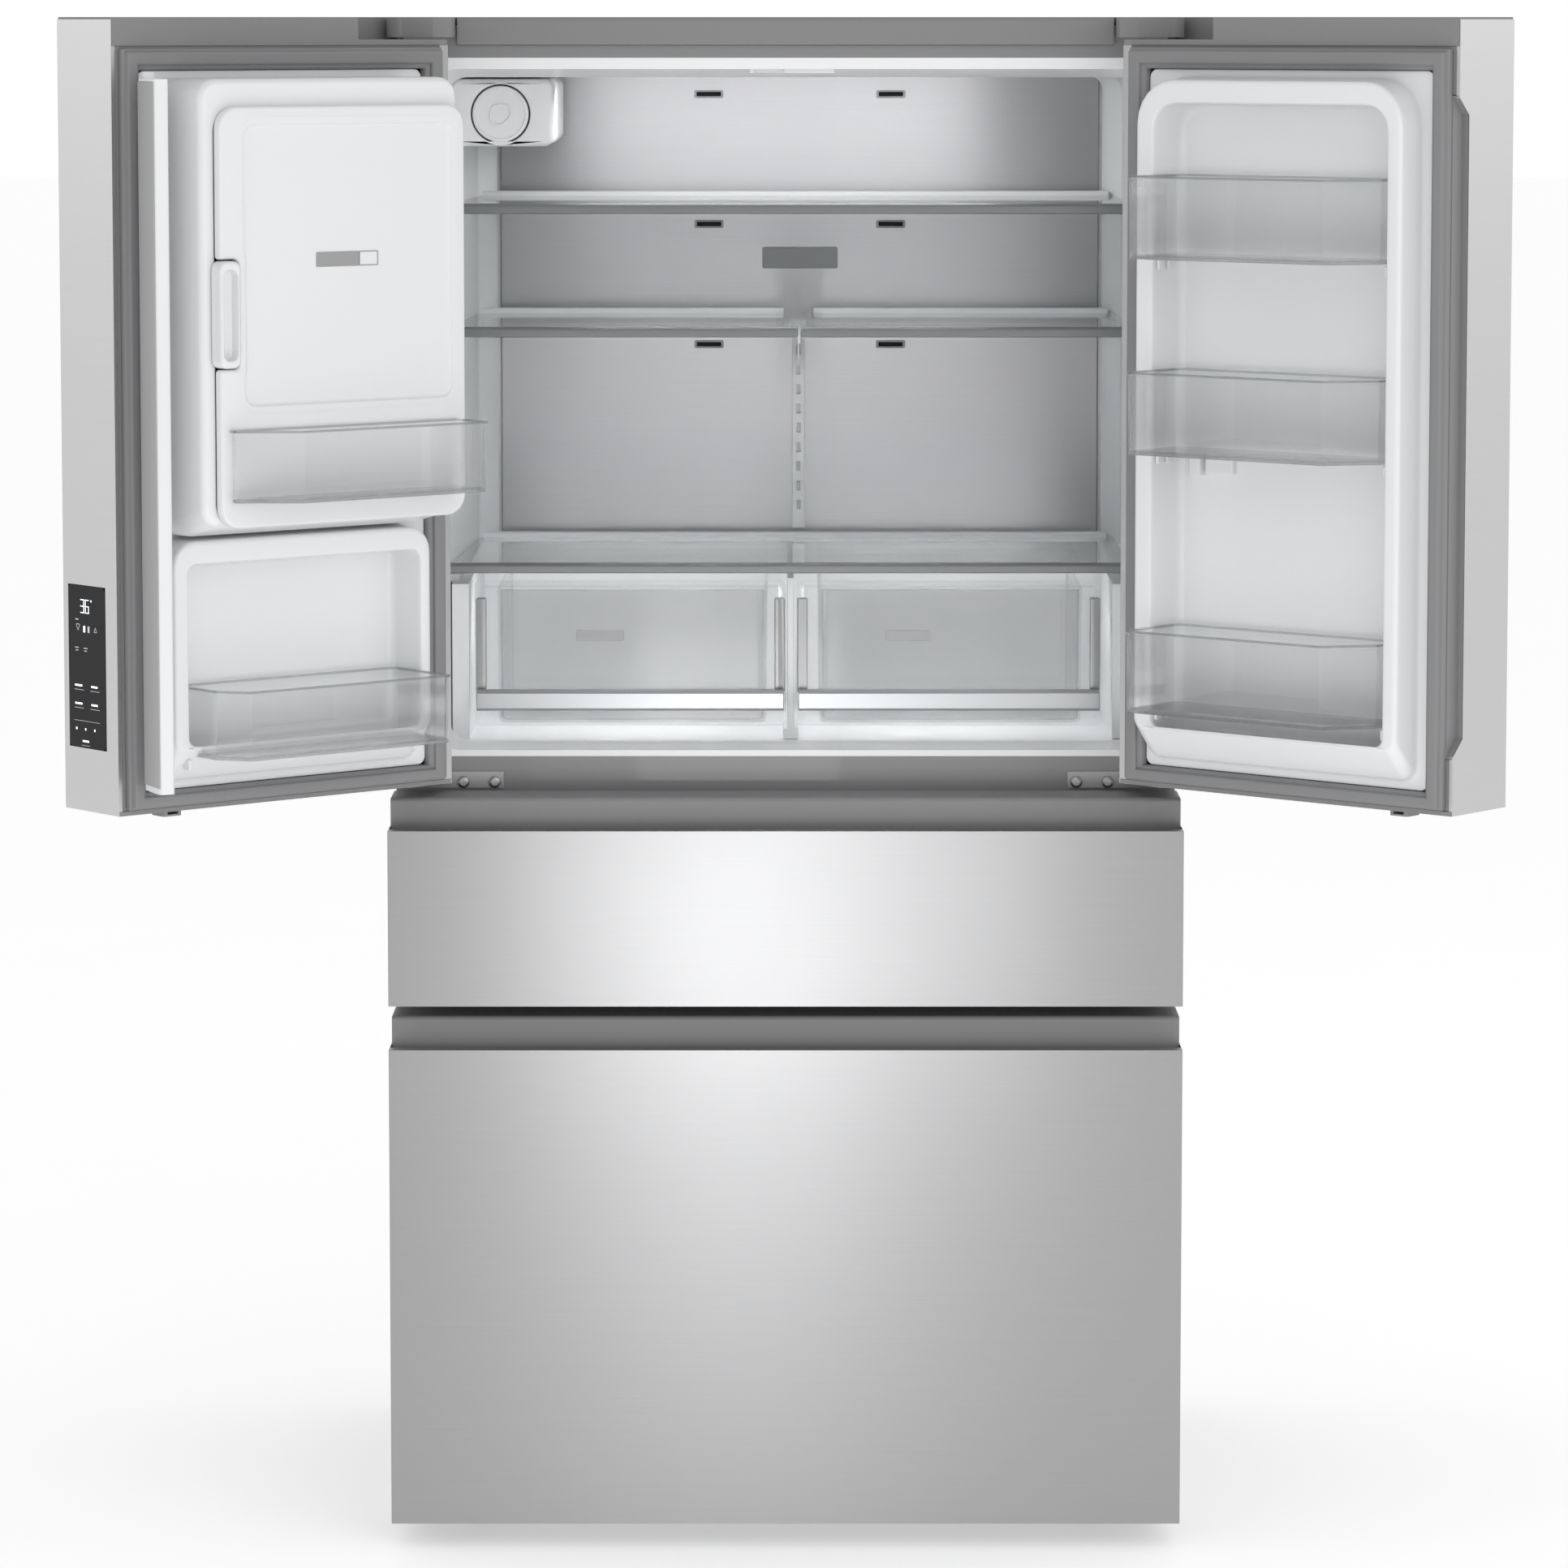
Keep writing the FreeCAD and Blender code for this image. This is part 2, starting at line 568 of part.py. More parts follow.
def door_bin(u0, u1, u2, front, side_depth, z0, z1):
    """Clear door bin: straight front with a chamfer towards the door's free side."""
    outline = [
        (from_hinge(u0), inward(-6)),
        (from_hinge(u2), inward(-6)),
        (from_hinge(u2), inward(side_depth)),
        (from_hinge(u1), inward(front)),
        (from_hinge(u0), inward(front)),
    ]
    return tub(outline, z0, z1, 3, 3, 9)


def make_gasket(side):
    """Magnetic gasket: flat base with a proud sealing lip, mitred at the corners."""
    y0 = DOOR_THICK - SHEET + 0.2
    y1 = DOOR_THICK + GASKET_THICK
    outer = box(from_hinge(12), from_hinge(442), y0, y1, 897, 1724)
    inner = box(from_hinge(37.5), from_hinge(420.5), y0 - 1, y1 + 1, 915.5, 1700.5)
    ring = outer.cut(inner)
    step_outer = box(from_hinge(0), from_hinge(455), y0 + 7, y1 + 1, 800, 1800)
    step_inner = box(from_hinge(15), from_hinge(439), y0 + 6, y1 + 2, 900, 1721)
    ring = ring.cut(step_outer.cut(step_inner))
    clear = door_slab(side).common(box(-WIDTH, WIDTH, y0 - 1, y1, 0, HEIGHT))
    add_door(side, side + "_door_gasket", ring.cut(clear).removeSplitter())


def make_left_door():
    """Left door: skin, caps, core, gasket, ice compartment, bins, controls, dispenser."""
    door_skin("left")
    door_caps("left")
    ring, recess = liner_ring(55.5, 928, 1192, 40, 30)
    core = door_slab("left").fuse(ring).cut(recess)
    add_door("left", "left_door_core", core.removeSplitter())
    make_gasket("left")
    lower_bin = door_bin(76, 348, 372, 104, 70, 953, 1029)
    add_door("left", "left_door_bin", lower_bin)
    make_ice_compartment()
    make_dispenser()
    edge = from_hinge(DOOR_WIDTH)
    glass = round_box(edge - 2.6, edge + 0.2, 10, 82, 961, 1139, 6, "x")
    add_door("left", "control_panel", glass)


ICE_HINGE_U = 59.5             # hinge line of the ice cover, at its outer corner
ICE_HINGE_P = 110.0


def make_ice_compartment():
    """Insulated ice box on the left door with its cover, latch, can bin and ice bucket."""
    u0, u1, z0, z1, front = 58.5, 403.0, 1196.0, 1692.0, 97.0
    shell = box(from_hinge(u0), from_hinge(u1), inward(1.3), inward(front), z0, z1)
    shell = round_edges(shell, 22, "y")
    hollow = round_box(from_hinge(u0 + 14), from_hinge(u1 - 18), inward(4), inward(front) + 1,
                       z0 + 22, z1 - 40, 16, "y")
    under = prism_x([(inward(40), z0 - 1), (inward(front + 1), z0 - 1), (inward(front + 1), z0 + 14)],
                    -WIDTH, WIDTH)
    add_door("left", "ice_housing", shell.cut(hollow).cut(under).removeSplitter())

    bucket = box_tub(from_hinge(84), from_hinge(366), inward(16), inward(88), 1226, 1440, 3, 14)
    add_door("left", "ice_bucket", bucket)

    cover = round_box(from_hinge(ICE_HINGE_U), from_hinge(388), inward(98), inward(110), 1208, 1662, 24, "y")
    dish = round_box(from_hinge(76), from_hinge(356), inward(107), inward(111), 1340, 1642, 14, "y")
    latch_space = box(from_hinge(363), from_hinge(389), inward(96), inward(112), 1380, 1498.5)
    add_door("left", "ice_cover", cover.cut(dish).cut(latch_space).removeSplitter())

    outline = [
        (from_hinge(72), inward(110.4)),
        (from_hinge(380), inward(110.4)),
        (from_hinge(380), inward(124)),
        (from_hinge(321), inward(170)),
        (from_hinge(72), inward(170)),
    ]
    add_door("left", "can_bin", tub(outline, 1237, 1315, 3, 3, 9))

    latch = round_box(from_hinge(365), from_hinge(392), inward(99), inward(117), 1381.5, 1497, 8, "y")
    finger = round_box(from_hinge(369), from_hinge(393), inward(103), inward(113), 1396, 1483, 5, "y")
    add_door("left", "ice_latch", latch.cut(finger))


PADDLE_Y = 42.0
PADDLE_Z = 1176.0


def make_dispenser():
    """Water and ice alcove in the left door's front, with its paddle."""
    outer = alcove_block(0).common(box(-WIDTH, WIDTH, 0, 64, 0, HEIGHT))
    inner = round_box(-312, -148, -2, 61, 972, 1222, 10, "y")
    housing = outer.cut(inner)
    spout = Part.makeCone(22, 15, 26, Vector(-230, 30, 1224), Vector(0, 0, -1))
    housing = housing.fuse(spout)
    grille = box(-300, -160, 6, 56, 972, 976)
    for index in range(11):
        x = -296 + 12 * index
        grille = grille.cut(box(x + 3, x + 9, 10, 52, 973.5, 977))
    add_door("left", "dispenser_housing", housing.fuse(grille).removeSplitter())
    paddle = round_box(-258, -202, 40, 44, 1088, 1170, 10, "y")
    pivot = Part.makeCylinder(4, 56, Vector(-258, PADDLE_Y, PADDLE_Z), Vector(1, 0, 0))
    neck = box(-250, -210, 40, 44, 1160, PADDLE_Z)
    add_door("left", "dispenser_paddle", paddle.fuse(neck).fuse(pivot).removeSplitter())


MULLION_PIVOT_U = 426.0
MULLION_PIVOT_P = 25.0
MULLION_FOLD = 75.0


def make_mullion():
    """Hinged seal bar on the left door, folded back because the door is open."""
    x0 = from_hinge(MULLION_PIVOT_U)
    y0 = FLANGE_Y + 0.5
    shell = box(x0 + 1, x0 + 52, y0 + 1.5, y0 + 19, 921.6, 1691.7)
    shell = round_edges(shell, 4)
    block = round_box(x0 + 4, x0 + 16, y0 + 4, y0 + 16, 1690, 1699, 3)
    shell = shell.fuse(block)
    shell = shell.cut(box(x0 + 1.7, x0 + 51.3, y0, y0 + 2.4, 928, 1689)).removeSplitter()
    face = box(x0 + 2, x0 + 51, y0 + 1.0, y0 + 2.2, 928.3, 1688.7)
    for name, shape in (("mullion_shell", shell), ("mullion_face", face)):
        folded = shape.copy()
        folded.rotate(Vector(x0, inward(MULLION_PIVOT_P), 0), Vector(0, 0, 1), MULLION_FOLD)
        add_door("left", name, folded)


# ---------------------------------------------------------------- drawers
def make_drawer(name, bottom, top, pocket_top, tub_box):
    """Steel front, grey inner panel with the finger pocket, and the tub on its slides."""
    half = WIDTH / 2
    front = box(-half, half, 0, SHEET, bottom, top)
    lip = box(-half, half, 0, 18, top - SHEET, top)
    side = box(-half, -half + SHEET, 0, DOOR_THICK - 3, bottom, top)
    base = box(-half, half, 0, 30, bottom, bottom + SHEET)
    steel = front
    for strip in (lip, side, mirrored(side), base):
        steel = steel.fuse(strip)
    add(name + "_drawer_front", steel.removeSplitter())

    inside = half - SHEET - 0.3
    profile = [
        (SHEET + 0.2, bottom + SHEET + 0.2),
        (DOOR_THICK, bottom + SHEET + 0.2),
        (DOOR_THICK, pocket_top),
        (40, pocket_top),
        (37, pocket_top - 3),
        (37, top - 46),
        (30, top - 52),
        (19, top - 52),
        (12, top - 46),
        (12, top - SHEET - 0.2),
        (SHEET + 0.2, top - SHEET - 0.2),
    ]
    panel = prism_x(profile, -inside, inside)
    seal_outer = box(-420, 420, DOOR_THICK - 1, DOOR_THICK + GASKET_THICK, bottom + 8, top + 24)
    seal_inner = box(-399, 399, 0, 200, tub_box[4] - 6, top + 6)
    add(name + "_drawer_inner", panel.fuse(seal_outer.cut(seal_inner)).removeSplitter())

    x0, x1, y0, y1, z0, z1 = tub_box
    bucket = box_tub(x0, x1, y0, y1, z0, z1, 3, 16)
    rail = box(x1 + 4, x1 + 14, DOOR_THICK + 0.3, y1 - 20, z0 + 40, z0 + 70)
    carrier = box(x1 - 1, x1 + 5, y0 + 20, y1 - 30, z0 + 48, z0 + 62)
    bucket = bucket.fuse(rail).fuse(carrier)
    bucket = bucket.fuse(mirrored(rail)).fuse(mirrored(carrier))
    add(name + "_drawer_tub", bucket.removeSplitter())


def make_drawers():
    flex_tub = (-376, 376, DOOR_THICK + 0.3, 610, 655, 815)
    freezer_tub = (-376, 376, DOOR_THICK + 0.3, 440, 90, 350)
    make_drawer("flex", FLEX_BOTTOM, FLEX_TOP, FLEX_POCKET_TOP, flex_tub)
    make_drawer("freezer", FREEZER_BOTTOM, FREEZER_TOP, FREEZER_POCKET_TOP, freezer_tub)
    basket = box_tub(-382, 382, 150, 610, 380, 555, 3, 16)
    add("freezer_basket", basket)

    rails = []
    for z0, y1 in ((695.0, 600.0), (130.0, 440.0)):
        channel = box(391, 400.5, FLANGE_Y + 4, y1, z0 - 6, z0 + 36)
        channel = channel.cut(box(390, 397, 0, DEPTH, z0 - 3, z0 + 33))
        rails.append(channel)
    ledge = box(386, 400.5, FLANGE_Y + 14, 620, 366, 379)
    rails.append(ledge)
    add("drawer_rails", group([item for rail in rails for item in both_sides(rail)]))


# ---------------------------------------------------------------- base and machinery
FOOT_X = 419.0
FOOT_Y = 150.0
ROLLER_X = 400.0
ROLLER_Y = 640.0
ROLLER_RADIUS = 20.0
FAN_X = 60.0
FAN_Y = 615.0
FAN_Z = 165.0


def make_base():
    """Base frame, levelling feet, rear rollers."""
    inner = CABINET_HALF - SHEET - SLACK
    frame = box(384, inner, 132, DEPTH - 6, 40, 44)
    frame = frame.fuse(box(inner - 3, inner, MACHINE_FRONT + 6, DEPTH - 6, 40, MACHINE_TOP))
    frame = frame.fuse(box(384, inner, 132, 170, 22, 44))
    frame = frame.cut(cylinder(FOOT_X, FOOT_Y, 0, 60, 9))
    frame = frame.fuse(box(338, 380, 140, 190, 8, 44).fuse(box(338, 390, 132, 190, 40, 44)))
    frame = frame.fuse(box(ROLLER_X + 12, ROLLER_X + 16, ROLLER_Y - 18, ROLLER_Y + 18, 14, 44))
    frame = frame.fuse(box(ROLLER_X - 16, ROLLER_X - 12, ROLLER_Y - 18, ROLLER_Y + 18, 14, 44))
    frame = frame.cut(box(ROLLER_X - 11.9, ROLLER_X + 11.9, ROLLER_Y - 24, ROLLER_Y + 24, 0, 60))
    frame = frame.cut(Part.makeCylinder(4.05, 60, Vector(ROLLER_X - 30, ROLLER_Y, ROLLER_RADIUS),
                                        Vector(1, 0, 0)))
    left = mirrored(frame)
    tie_front = box(-338, 338, 134, 160, 40, 44)
    tie_back = box(-384, 384, DEPTH - 40, DEPTH - 6, 40, 44)
    tray = box(-384, 384, MACHINE_FRONT + 6, DEPTH - 40, 40, 42)
    whole = frame.fuse(left)
    for piece in (tie_front, tie_back, tray):
        whole = whole.fuse(piece)
    add("base_frame", whole.removeSplitter())

    foot = cylinder(FOOT_X, FOOT_Y, 0, 14, 17.4)
    foot = foot.fuse(cylinder(FOOT_X, FOOT_Y, 14, 21, 12)).fuse(cylinder(FOOT_X, FOOT_Y, 21, 39, 8.7))
    add("levelling_feet", group(both_sides(foot.removeSplitter())))

    wheel = Part.makeCylinder(ROLLER_RADIUS, 20, Vector(ROLLER_X - 10, ROLLER_Y, ROLLER_RADIUS),
                              Vector(1, 0, 0))
    axle = Part.makeCylinder(4, 40, Vector(ROLLER_X - 20, ROLLER_Y, ROLLER_RADIUS), Vector(1, 0, 0))
    roller = wheel.fuse(axle).removeSplitter()
    add("rear_rollers", group(both_sides(roller)))


def make_machinery():
    """Compressor, condenser fan, rear cover with the cord gland, and the water inlet."""
    dome = Part.makeSphere(68, Vector(-230, 610, 128))
    dome = dome.fuse(cylinder(-230, 610, 112, 128, 68)).fuse(Part.makeSphere(68, Vector(-230, 610, 112)))
    dome = dome.removeSplitter()
    feet = box(-310, -150, 550, 670, 42.3, 46)
    compressor = dome.fuse(feet).removeSplitter()
    add("compressor", compressor)

    hub = Part.makeCylinder(18, 30, Vector(FAN_X - 15, FAN_Y, FAN_Z), Vector(1, 0, 0))
    fan = hub
    for index in range(5):
        blade = box(FAN_X - 2, FAN_X + 2, FAN_Y - 17, FAN_Y + 17, FAN_Z + 10, FAN_Z + 72)
        blade.rotate(Vector(FAN_X, FAN_Y, FAN_Z + 40), Vector(0, 0, 1), 28)
        blade.rotate(Vector(FAN_X, FAN_Y, FAN_Z), Vector(1, 0, 0), 72 * index)
        fan = fan.fuse(blade)
    add("condenser_fan", fan.removeSplitter())
    shroud = box(FAN_X + 22, FAN_X + 30, FAN_Y - 95, FAN_Y + 95, 44.3, 270)
    shroud = shroud.cut(Part.makeCylinder(80, 60, Vector(FAN_X, FAN_Y, FAN_Z), Vector(1, 0, 0)))
    bars = box(FAN_X + 22, FAN_X + 30, FAN_Y - 90, FAN_Y + 90, FAN_Z - 8, FAN_Z + 8)
    motor = Part.makeCylinder(24, 34, Vector(FAN_X + 20, FAN_Y, FAN_Z), Vector(1, 0, 0))
    add("fan_shroud", shroud.fuse(bars).fuse(motor).removeSplitter())

    cover = box(-440, 440, DEPTH - 2.5, DEPTH - 1.3, 48, MACHINE_TOP)
    for row in range(6):
        for x in range(-120, 361, 60):
            z = 90 + 28 * row
            cover = cover.cut(box(x, x + 44, 700, 750, z, z + 8))
    gland_x, gland_z = -380.0, 230.0
    gland = Part.makeCylinder(11, 12, Vector(gland_x, DEPTH - 13, gland_z), Vector(0, 1, 0))
    cover = cover.fuse(gland)
    cover = cover.cut(Part.makeCylinder(5, 40, Vector(gland_x, DEPTH - 30, gland_z), Vector(0, 1, 0)))
    inlet_x, inlet_z = -380.0, 120.0
    cover = cover.cut(Part.makeCylinder(13, 40, Vector(inlet_x, DEPTH - 30, inlet_z), Vector(0, 1, 0)))
    add("machine_cover", cover.removeSplitter())

    valve = round_box(inlet_x - 20, inlet_x + 20, 650, 700, inlet_z - 24, inlet_z + 24, 5, "y")
    stub = Part.makeCylinder(8, 29.5, Vector(inlet_x, 700, inlet_z), Vector(0, 1, 0))
    valve = valve.fuse(stub)
    valve = valve.cut(Part.makeCylinder(3.5, 60, Vector(inlet_x, 690, inlet_z), Vector(0, 1, 0)))
    bracket = box(inlet_x - 30, inlet_x + 20, 655, 690, 44.3, inlet_z - 20)
    add("water_valve", valve.fuse(bracket).removeSplitter())


# ---------------------------------------------------------------- build
make_cabinet()
make_fridge_liner()
make_drawer_liners()
make_front_frame()
make_top()
make_interior()
make_crisper("left", -365, 0)
make_crisper("right", 13, 371)
make_left_door()
make_mullion()
make_right_door()
make_drawers()
make_base()
make_machinery()

lows = [shape.BoundBox.YMin for shape in parts.values()]
highs = [shape.BoundBox.YMax for shape in parts.values()]
ORIGIN_Y = (min(lows) + max(highs)) / 2

os.makedirs("parts", exist_ok=True)
for name, shape in parts.items():
    shape.translate(Vector(0, -ORIGIN_Y, 0))
    shape.exportStep("parts/" + name + ".step")
print(len(parts), "pieces, origin", round(ORIGIN_Y, 3), "mm behind the drawer fronts")
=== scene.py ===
"""Looks of the four-door french door refrigerator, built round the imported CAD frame.

Doors stand open at rest. Pieces on a door are placed in that door's own space: u runs
from the hinge-side edge to the free edge, p stands proud of the inner face, z is up.
Lengths are in metres, except in helpers whose name starts with mm_ or whose docstring
says millimetres.
"""
import json
import math

import bmesh
import bpy
from mathutils import Matrix, Vector


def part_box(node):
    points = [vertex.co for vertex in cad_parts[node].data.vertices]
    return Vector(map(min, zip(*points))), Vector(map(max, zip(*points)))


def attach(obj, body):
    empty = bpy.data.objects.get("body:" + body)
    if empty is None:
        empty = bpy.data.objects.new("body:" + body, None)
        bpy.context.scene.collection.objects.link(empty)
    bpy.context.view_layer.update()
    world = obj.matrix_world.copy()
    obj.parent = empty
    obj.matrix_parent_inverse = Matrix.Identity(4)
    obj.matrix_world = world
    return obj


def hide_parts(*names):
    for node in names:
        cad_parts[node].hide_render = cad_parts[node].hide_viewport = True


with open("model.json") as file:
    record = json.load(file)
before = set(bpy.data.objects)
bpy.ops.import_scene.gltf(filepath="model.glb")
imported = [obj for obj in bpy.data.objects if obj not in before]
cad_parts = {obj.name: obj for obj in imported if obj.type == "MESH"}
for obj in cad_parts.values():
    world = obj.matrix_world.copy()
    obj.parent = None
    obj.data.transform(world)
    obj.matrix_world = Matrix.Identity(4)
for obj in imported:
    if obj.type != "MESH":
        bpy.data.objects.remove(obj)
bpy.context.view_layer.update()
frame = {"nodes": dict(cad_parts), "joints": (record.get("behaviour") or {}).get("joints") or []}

MM = 0.001
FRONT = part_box("flex_drawer_front")[0].y
joints = {joint["name"]: joint for joint in frame["joints"]}

EASE = 0.3                        # where a softened edge's middle point lies, as a share of it
SHARP_ANGLE = math.radians(50)    # edges sharper than this stay crisp
SOFTEN_ANGLE = math.radians(35)   # CAD edges sharper than this are softened
WELD_DISTANCE = 2e-6


# --- materials
def new_material(name):
    """An empty node material and its principled shader."""
    material = bpy.data.materials.new(name)
    material.use_nodes = True
    return material, material.node_tree.nodes["Principled BSDF"]


def add_node(material, kind, **values):
    node = material.node_tree.nodes.new(kind)
    for key, value in values.items():
        setattr(node, key, value)
    return node


def preset(node, values):
    """Set constants straight on a node's own sockets."""
    for socket, value in values.items():
        node.inputs[socket].default_value = value


def link(material, source, target):
    material.node_tree.links.new(source, target)


def grain_coordinates(material, stretch):
    """Object-space coordinates scaled differently along each axis."""
    place = add_node(material, "ShaderNodeTexCoord")
    scale = add_node(material, "ShaderNodeMapping")
    preset(scale, {"Scale": stretch})
    link(material, place.outputs["Object"], scale.inputs["Vector"])
    return scale.outputs["Vector"]


def noise(material, vector, scale, detail=3.0):
    texture = add_node(material, "ShaderNodeTexNoise")
    preset(texture, {"Scale": scale, "Detail": detail})
    link(material, vector, texture.inputs["Vector"])
    return texture.outputs["Fac"]


def spread(material, value, low, high):
    """Map a 0..1 value on to a range."""
    remap = add_node(material, "ShaderNodeMapRange")
    preset(remap, {"To Min": low, "To Max": high})
    link(material, value, remap.inputs["Value"])
    return remap.outputs["Result"]


def colour_ramp(material, value, low, high):
    ramp = add_node(material, "ShaderNodeValToRGB")
    ramp.color_ramp.elements[0].color = (*low, 1)
    ramp.color_ramp.elements[1].color = (*high, 1)
    link(material, value, ramp.inputs["Fac"])
    return ramp.outputs["Color"]


def bump(material, shader, height, strength, distance=0.0005):
    node = add_node(material, "ShaderNodeBump")
    preset(node, {"Strength": strength, "Distance": distance})
    link(material, height, node.inputs["Height"])
    link(material, node.outputs["Normal"], shader.inputs["Normal"])


def surface(name, colour, roughness, metallic=0.0, coat=0.0, texture=900.0, relief=0.08,
            drift=0.03):
    """Moulded or painted surface: fine texture, slow colour drift, uneven roughness."""
    material, shader = new_material(name)
    vector = grain_coordinates(material, (1, 1, 1))
    fine = noise(material, vector, texture, 4)
    slow = noise(material, vector, 3.5, 2)
    low = [max(0, c * (1 - drift)) for c in colour]
    high = [min(1, c * (1 + drift)) for c in colour]
    link(material, colour_ramp(material, slow, low, high), shader.inputs["Base Color"])
    link(material, spread(material, fine, roughness - 0.05, roughness + 0.05),
         shader.inputs["Roughness"])
    preset(shader, {"Metallic": metallic, "Coat Weight": coat})
    bump(material, shader, fine, relief)
    return material


def brushed(name, colour, roughness, stretch, relief=0.05):
    """Brushed steel: long fine scratches along one axis and a faint cloudiness."""
    material, shader = new_material(name)
    vector = grain_coordinates(material, stretch)
    scratches = noise(material, vector, 1.0, 6)
    plain = grain_coordinates(material, (1, 1, 1))
    clouds = noise(material, plain, 2.2, 3)
    low = [c * 0.95 for c in colour]
    high = [min(1, c * 1.05) for c in colour]
    link(material, colour_ramp(material, scratches, low, high), shader.inputs["Base Color"])
    mix = add_node(material, "ShaderNodeMath", operation="MULTIPLY")
    link(material, scratches, mix.inputs[0])
    link(material, clouds, mix.inputs[1])
    link(material, spread(material, mix.outputs[0], roughness - 0.03, roughness + 0.06),
         shader.inputs["Roughness"])
    preset(shader, {"Metallic": 1.0, "Anisotropic": 0.7, "Anisotropic Rotation": 0.25})
    tangent = add_node(material, "ShaderNodeTangent", direction_type="RADIAL", axis="Z")
    link(material, tangent.outputs["Tangent"], shader.inputs["Tangent"])
    bump(material, shader, scratches, relief, 0.0003)
    return material


def clear(name, colour, roughness, ior, relief=0.02, body=0.5):
    """Thin transparent plastic or glass with faint ripples; body is how much it refracts."""
    material, shader = new_material(name)
    vector = grain_coordinates(material, (1, 1, 1))
    ripple = noise(material, vector, 14.0, 2)
    link(material, colour_ramp(material, ripple, [c * 0.98 for c in colour], colour),
         shader.inputs["Base Color"])
    link(material, spread(material, ripple, roughness, roughness + 0.03),
         shader.inputs["Roughness"])
    preset(shader, {"Transmission Weight": 1.0, "IOR": ior, "Alpha": body})
    bump(material, shader, ripple, relief)
    return material


def glowing(name, colour, strength):
    """Lit symbol with slightly uneven colour."""
    material, shader = new_material(name)
    vector = grain_coordinates(material, (1, 1, 1))
    patch = noise(material, vector, 60.0, 1)
    link(material, colour_ramp(material, patch, [c * 0.9 for c in colour], colour),
         shader.inputs["Base Color"])
    preset(shader, {"Emission Color": (*colour, 1), "Emission Strength": strength})
    return material


def spangled(name, colour):
    """Zinc-coated steel with crystal patches."""
    material, shader = new_material(name)
    vector = grain_coordinates(material, (1, 1, 1))
    cells = add_node(material, "ShaderNodeTexVoronoi")
    preset(cells, {"Scale": 190.0})
    link(material, vector, cells.inputs["Vector"])
    low = [c * 0.90 for c in colour]
    link(material, colour_ramp(material, cells.outputs["Color"], low, colour),
         shader.inputs["Base Color"])
    link(material, spread(material, cells.outputs["Distance"], 0.35, 0.55),
         shader.inputs["Roughness"])
    preset(shader, {"Metallic": 0.85})
    bump(material, shader, cells.outputs["Distance"], 0.03)
    return material


FINISHES = {
    # The drawer-front steel below is a darker copy of the door-skin steel: painted shade for the
    # dimmer reflections on the drawer fronts.
    "steel_wide": (brushed, (0.36, 0.36, 0.365), 0.33, (9, 9, 1500)),
    "steel_door": (brushed, (0.60, 0.60, 0.605), 0.34, (9, 9, 1500)),
    "steel_panel": (brushed, (0.40, 0.40, 0.41), 0.38, (6, 6, 1100)),
    "grey_paint": (surface, (0.245, 0.245, 0.25), 0.38, 0, 0.15, 700, 0.04),
    "grey_plastic": (surface, (0.235, 0.235, 0.24), 0.45, 0, 0, 900, 0.1),
    "cabinet_paint": (surface, (0.20, 0.20, 0.205), 0.42, 0.2, 0, 500, 0.12),
    "white_liner": (surface, (0.80, 0.81, 0.82), 0.30, 0, 0.1, 260, 0.02, 0.01),
    # The inner-box white below is a lighter copy of the liner white: painted light for the
    # shaded inside of the cabinet.
    "inner_white": (surface, (0.91, 0.92, 0.93), 0.30, 0, 0.1, 260, 0.02, 0.01),
    # The bin-edge plastic below is tinted grey: painted shade for the darkening along the thick
    # rims and feet of the clear bins.
    "bin_edge": (clear, (0.50, 0.52, 0.53), 0.03, 1.45, 0.02, 0.62),
    "icon_dim": (glowing, (0.55, 0.57, 0.60), 0.25),
    "white_plastic": (surface, (0.79, 0.80, 0.81), 0.34, 0, 0.1, 600, 0.03, 0.01),
    "silver_trim": (surface, (0.20, 0.205, 0.21), 0.33, 0.55, 0.2, 800, 0.04),
    "handle_silver": (brushed, (0.44, 0.45, 0.46), 0.30, (6, 900, 900), 0.05),
    "clear_plastic": (clear, (0.985, 0.995, 0.995), 0.02, 1.40, 0.02, 0.26),
    "smoky_plastic": (clear, (0.95, 0.955, 0.955), 0.04, 1.40, 0.02, 0.22),
    "frosted_plastic": (clear, (0.96, 0.98, 0.98), 0.18, 1.4, 0.05, 0.7),
    "shelf_glass": (clear, (0.93, 0.96, 0.95), 0.01, 1.45, 0.01, 0.8),
    "black_glass": (surface, (0.010, 0.010, 0.012), 0.12, 0, 0.05, 40, 0.005),
    "icon_white": (glowing, (0.92, 0.95, 1.0), 1.2),
    "gasket": (surface, (0.235, 0.235, 0.24), 0.55, 0, 0, 1200, 0.12),
    "dark_plastic": (surface, (0.035, 0.035, 0.038), 0.45, 0, 0, 900, 0.1),
    # The slot black below is painted shade: dark wells standing in for the shade inside the duct
    # panel's air slots.
    "void_black": (surface, (0.006, 0.006, 0.007), 0.8, 0, 0, 300, 0.05),
    "zinc": (spangled, (0.62, 0.63, 0.65)),
    "bright_steel": (surface, (0.42, 0.42, 0.43), 0.34, 1.0, 0, 1500, 0.05),
    "satin_silver": (surface, (0.46, 0.465, 0.47), 0.30, 0.6, 0.2, 800, 0.03),
    "mullion_grey": (surface, (0.38, 0.38, 0.385), 0.40, 0, 0.1, 700, 0.04),
    "plate_grey": (surface, (0.36, 0.36, 0.365), 0.36, 0.3, 0.1, 700, 0.04),
    "black_enamel": (surface, (0.012, 0.012, 0.013), 0.18, 0, 0.5, 60, 0.02),
    "foam": (surface, (0.80, 0.72, 0.48), 0.85, 0, 0, 350, 0.5, 0.08),
}
M = {name: make(name, *values) for name, (make, *values) in FINISHES.items()}

# the dark pane mirrors less of the studio than ordinary gloss paint
preset(M["black_glass"].node_tree.nodes["Principled BSDF"], {"Specular IOR Level": 0.15})


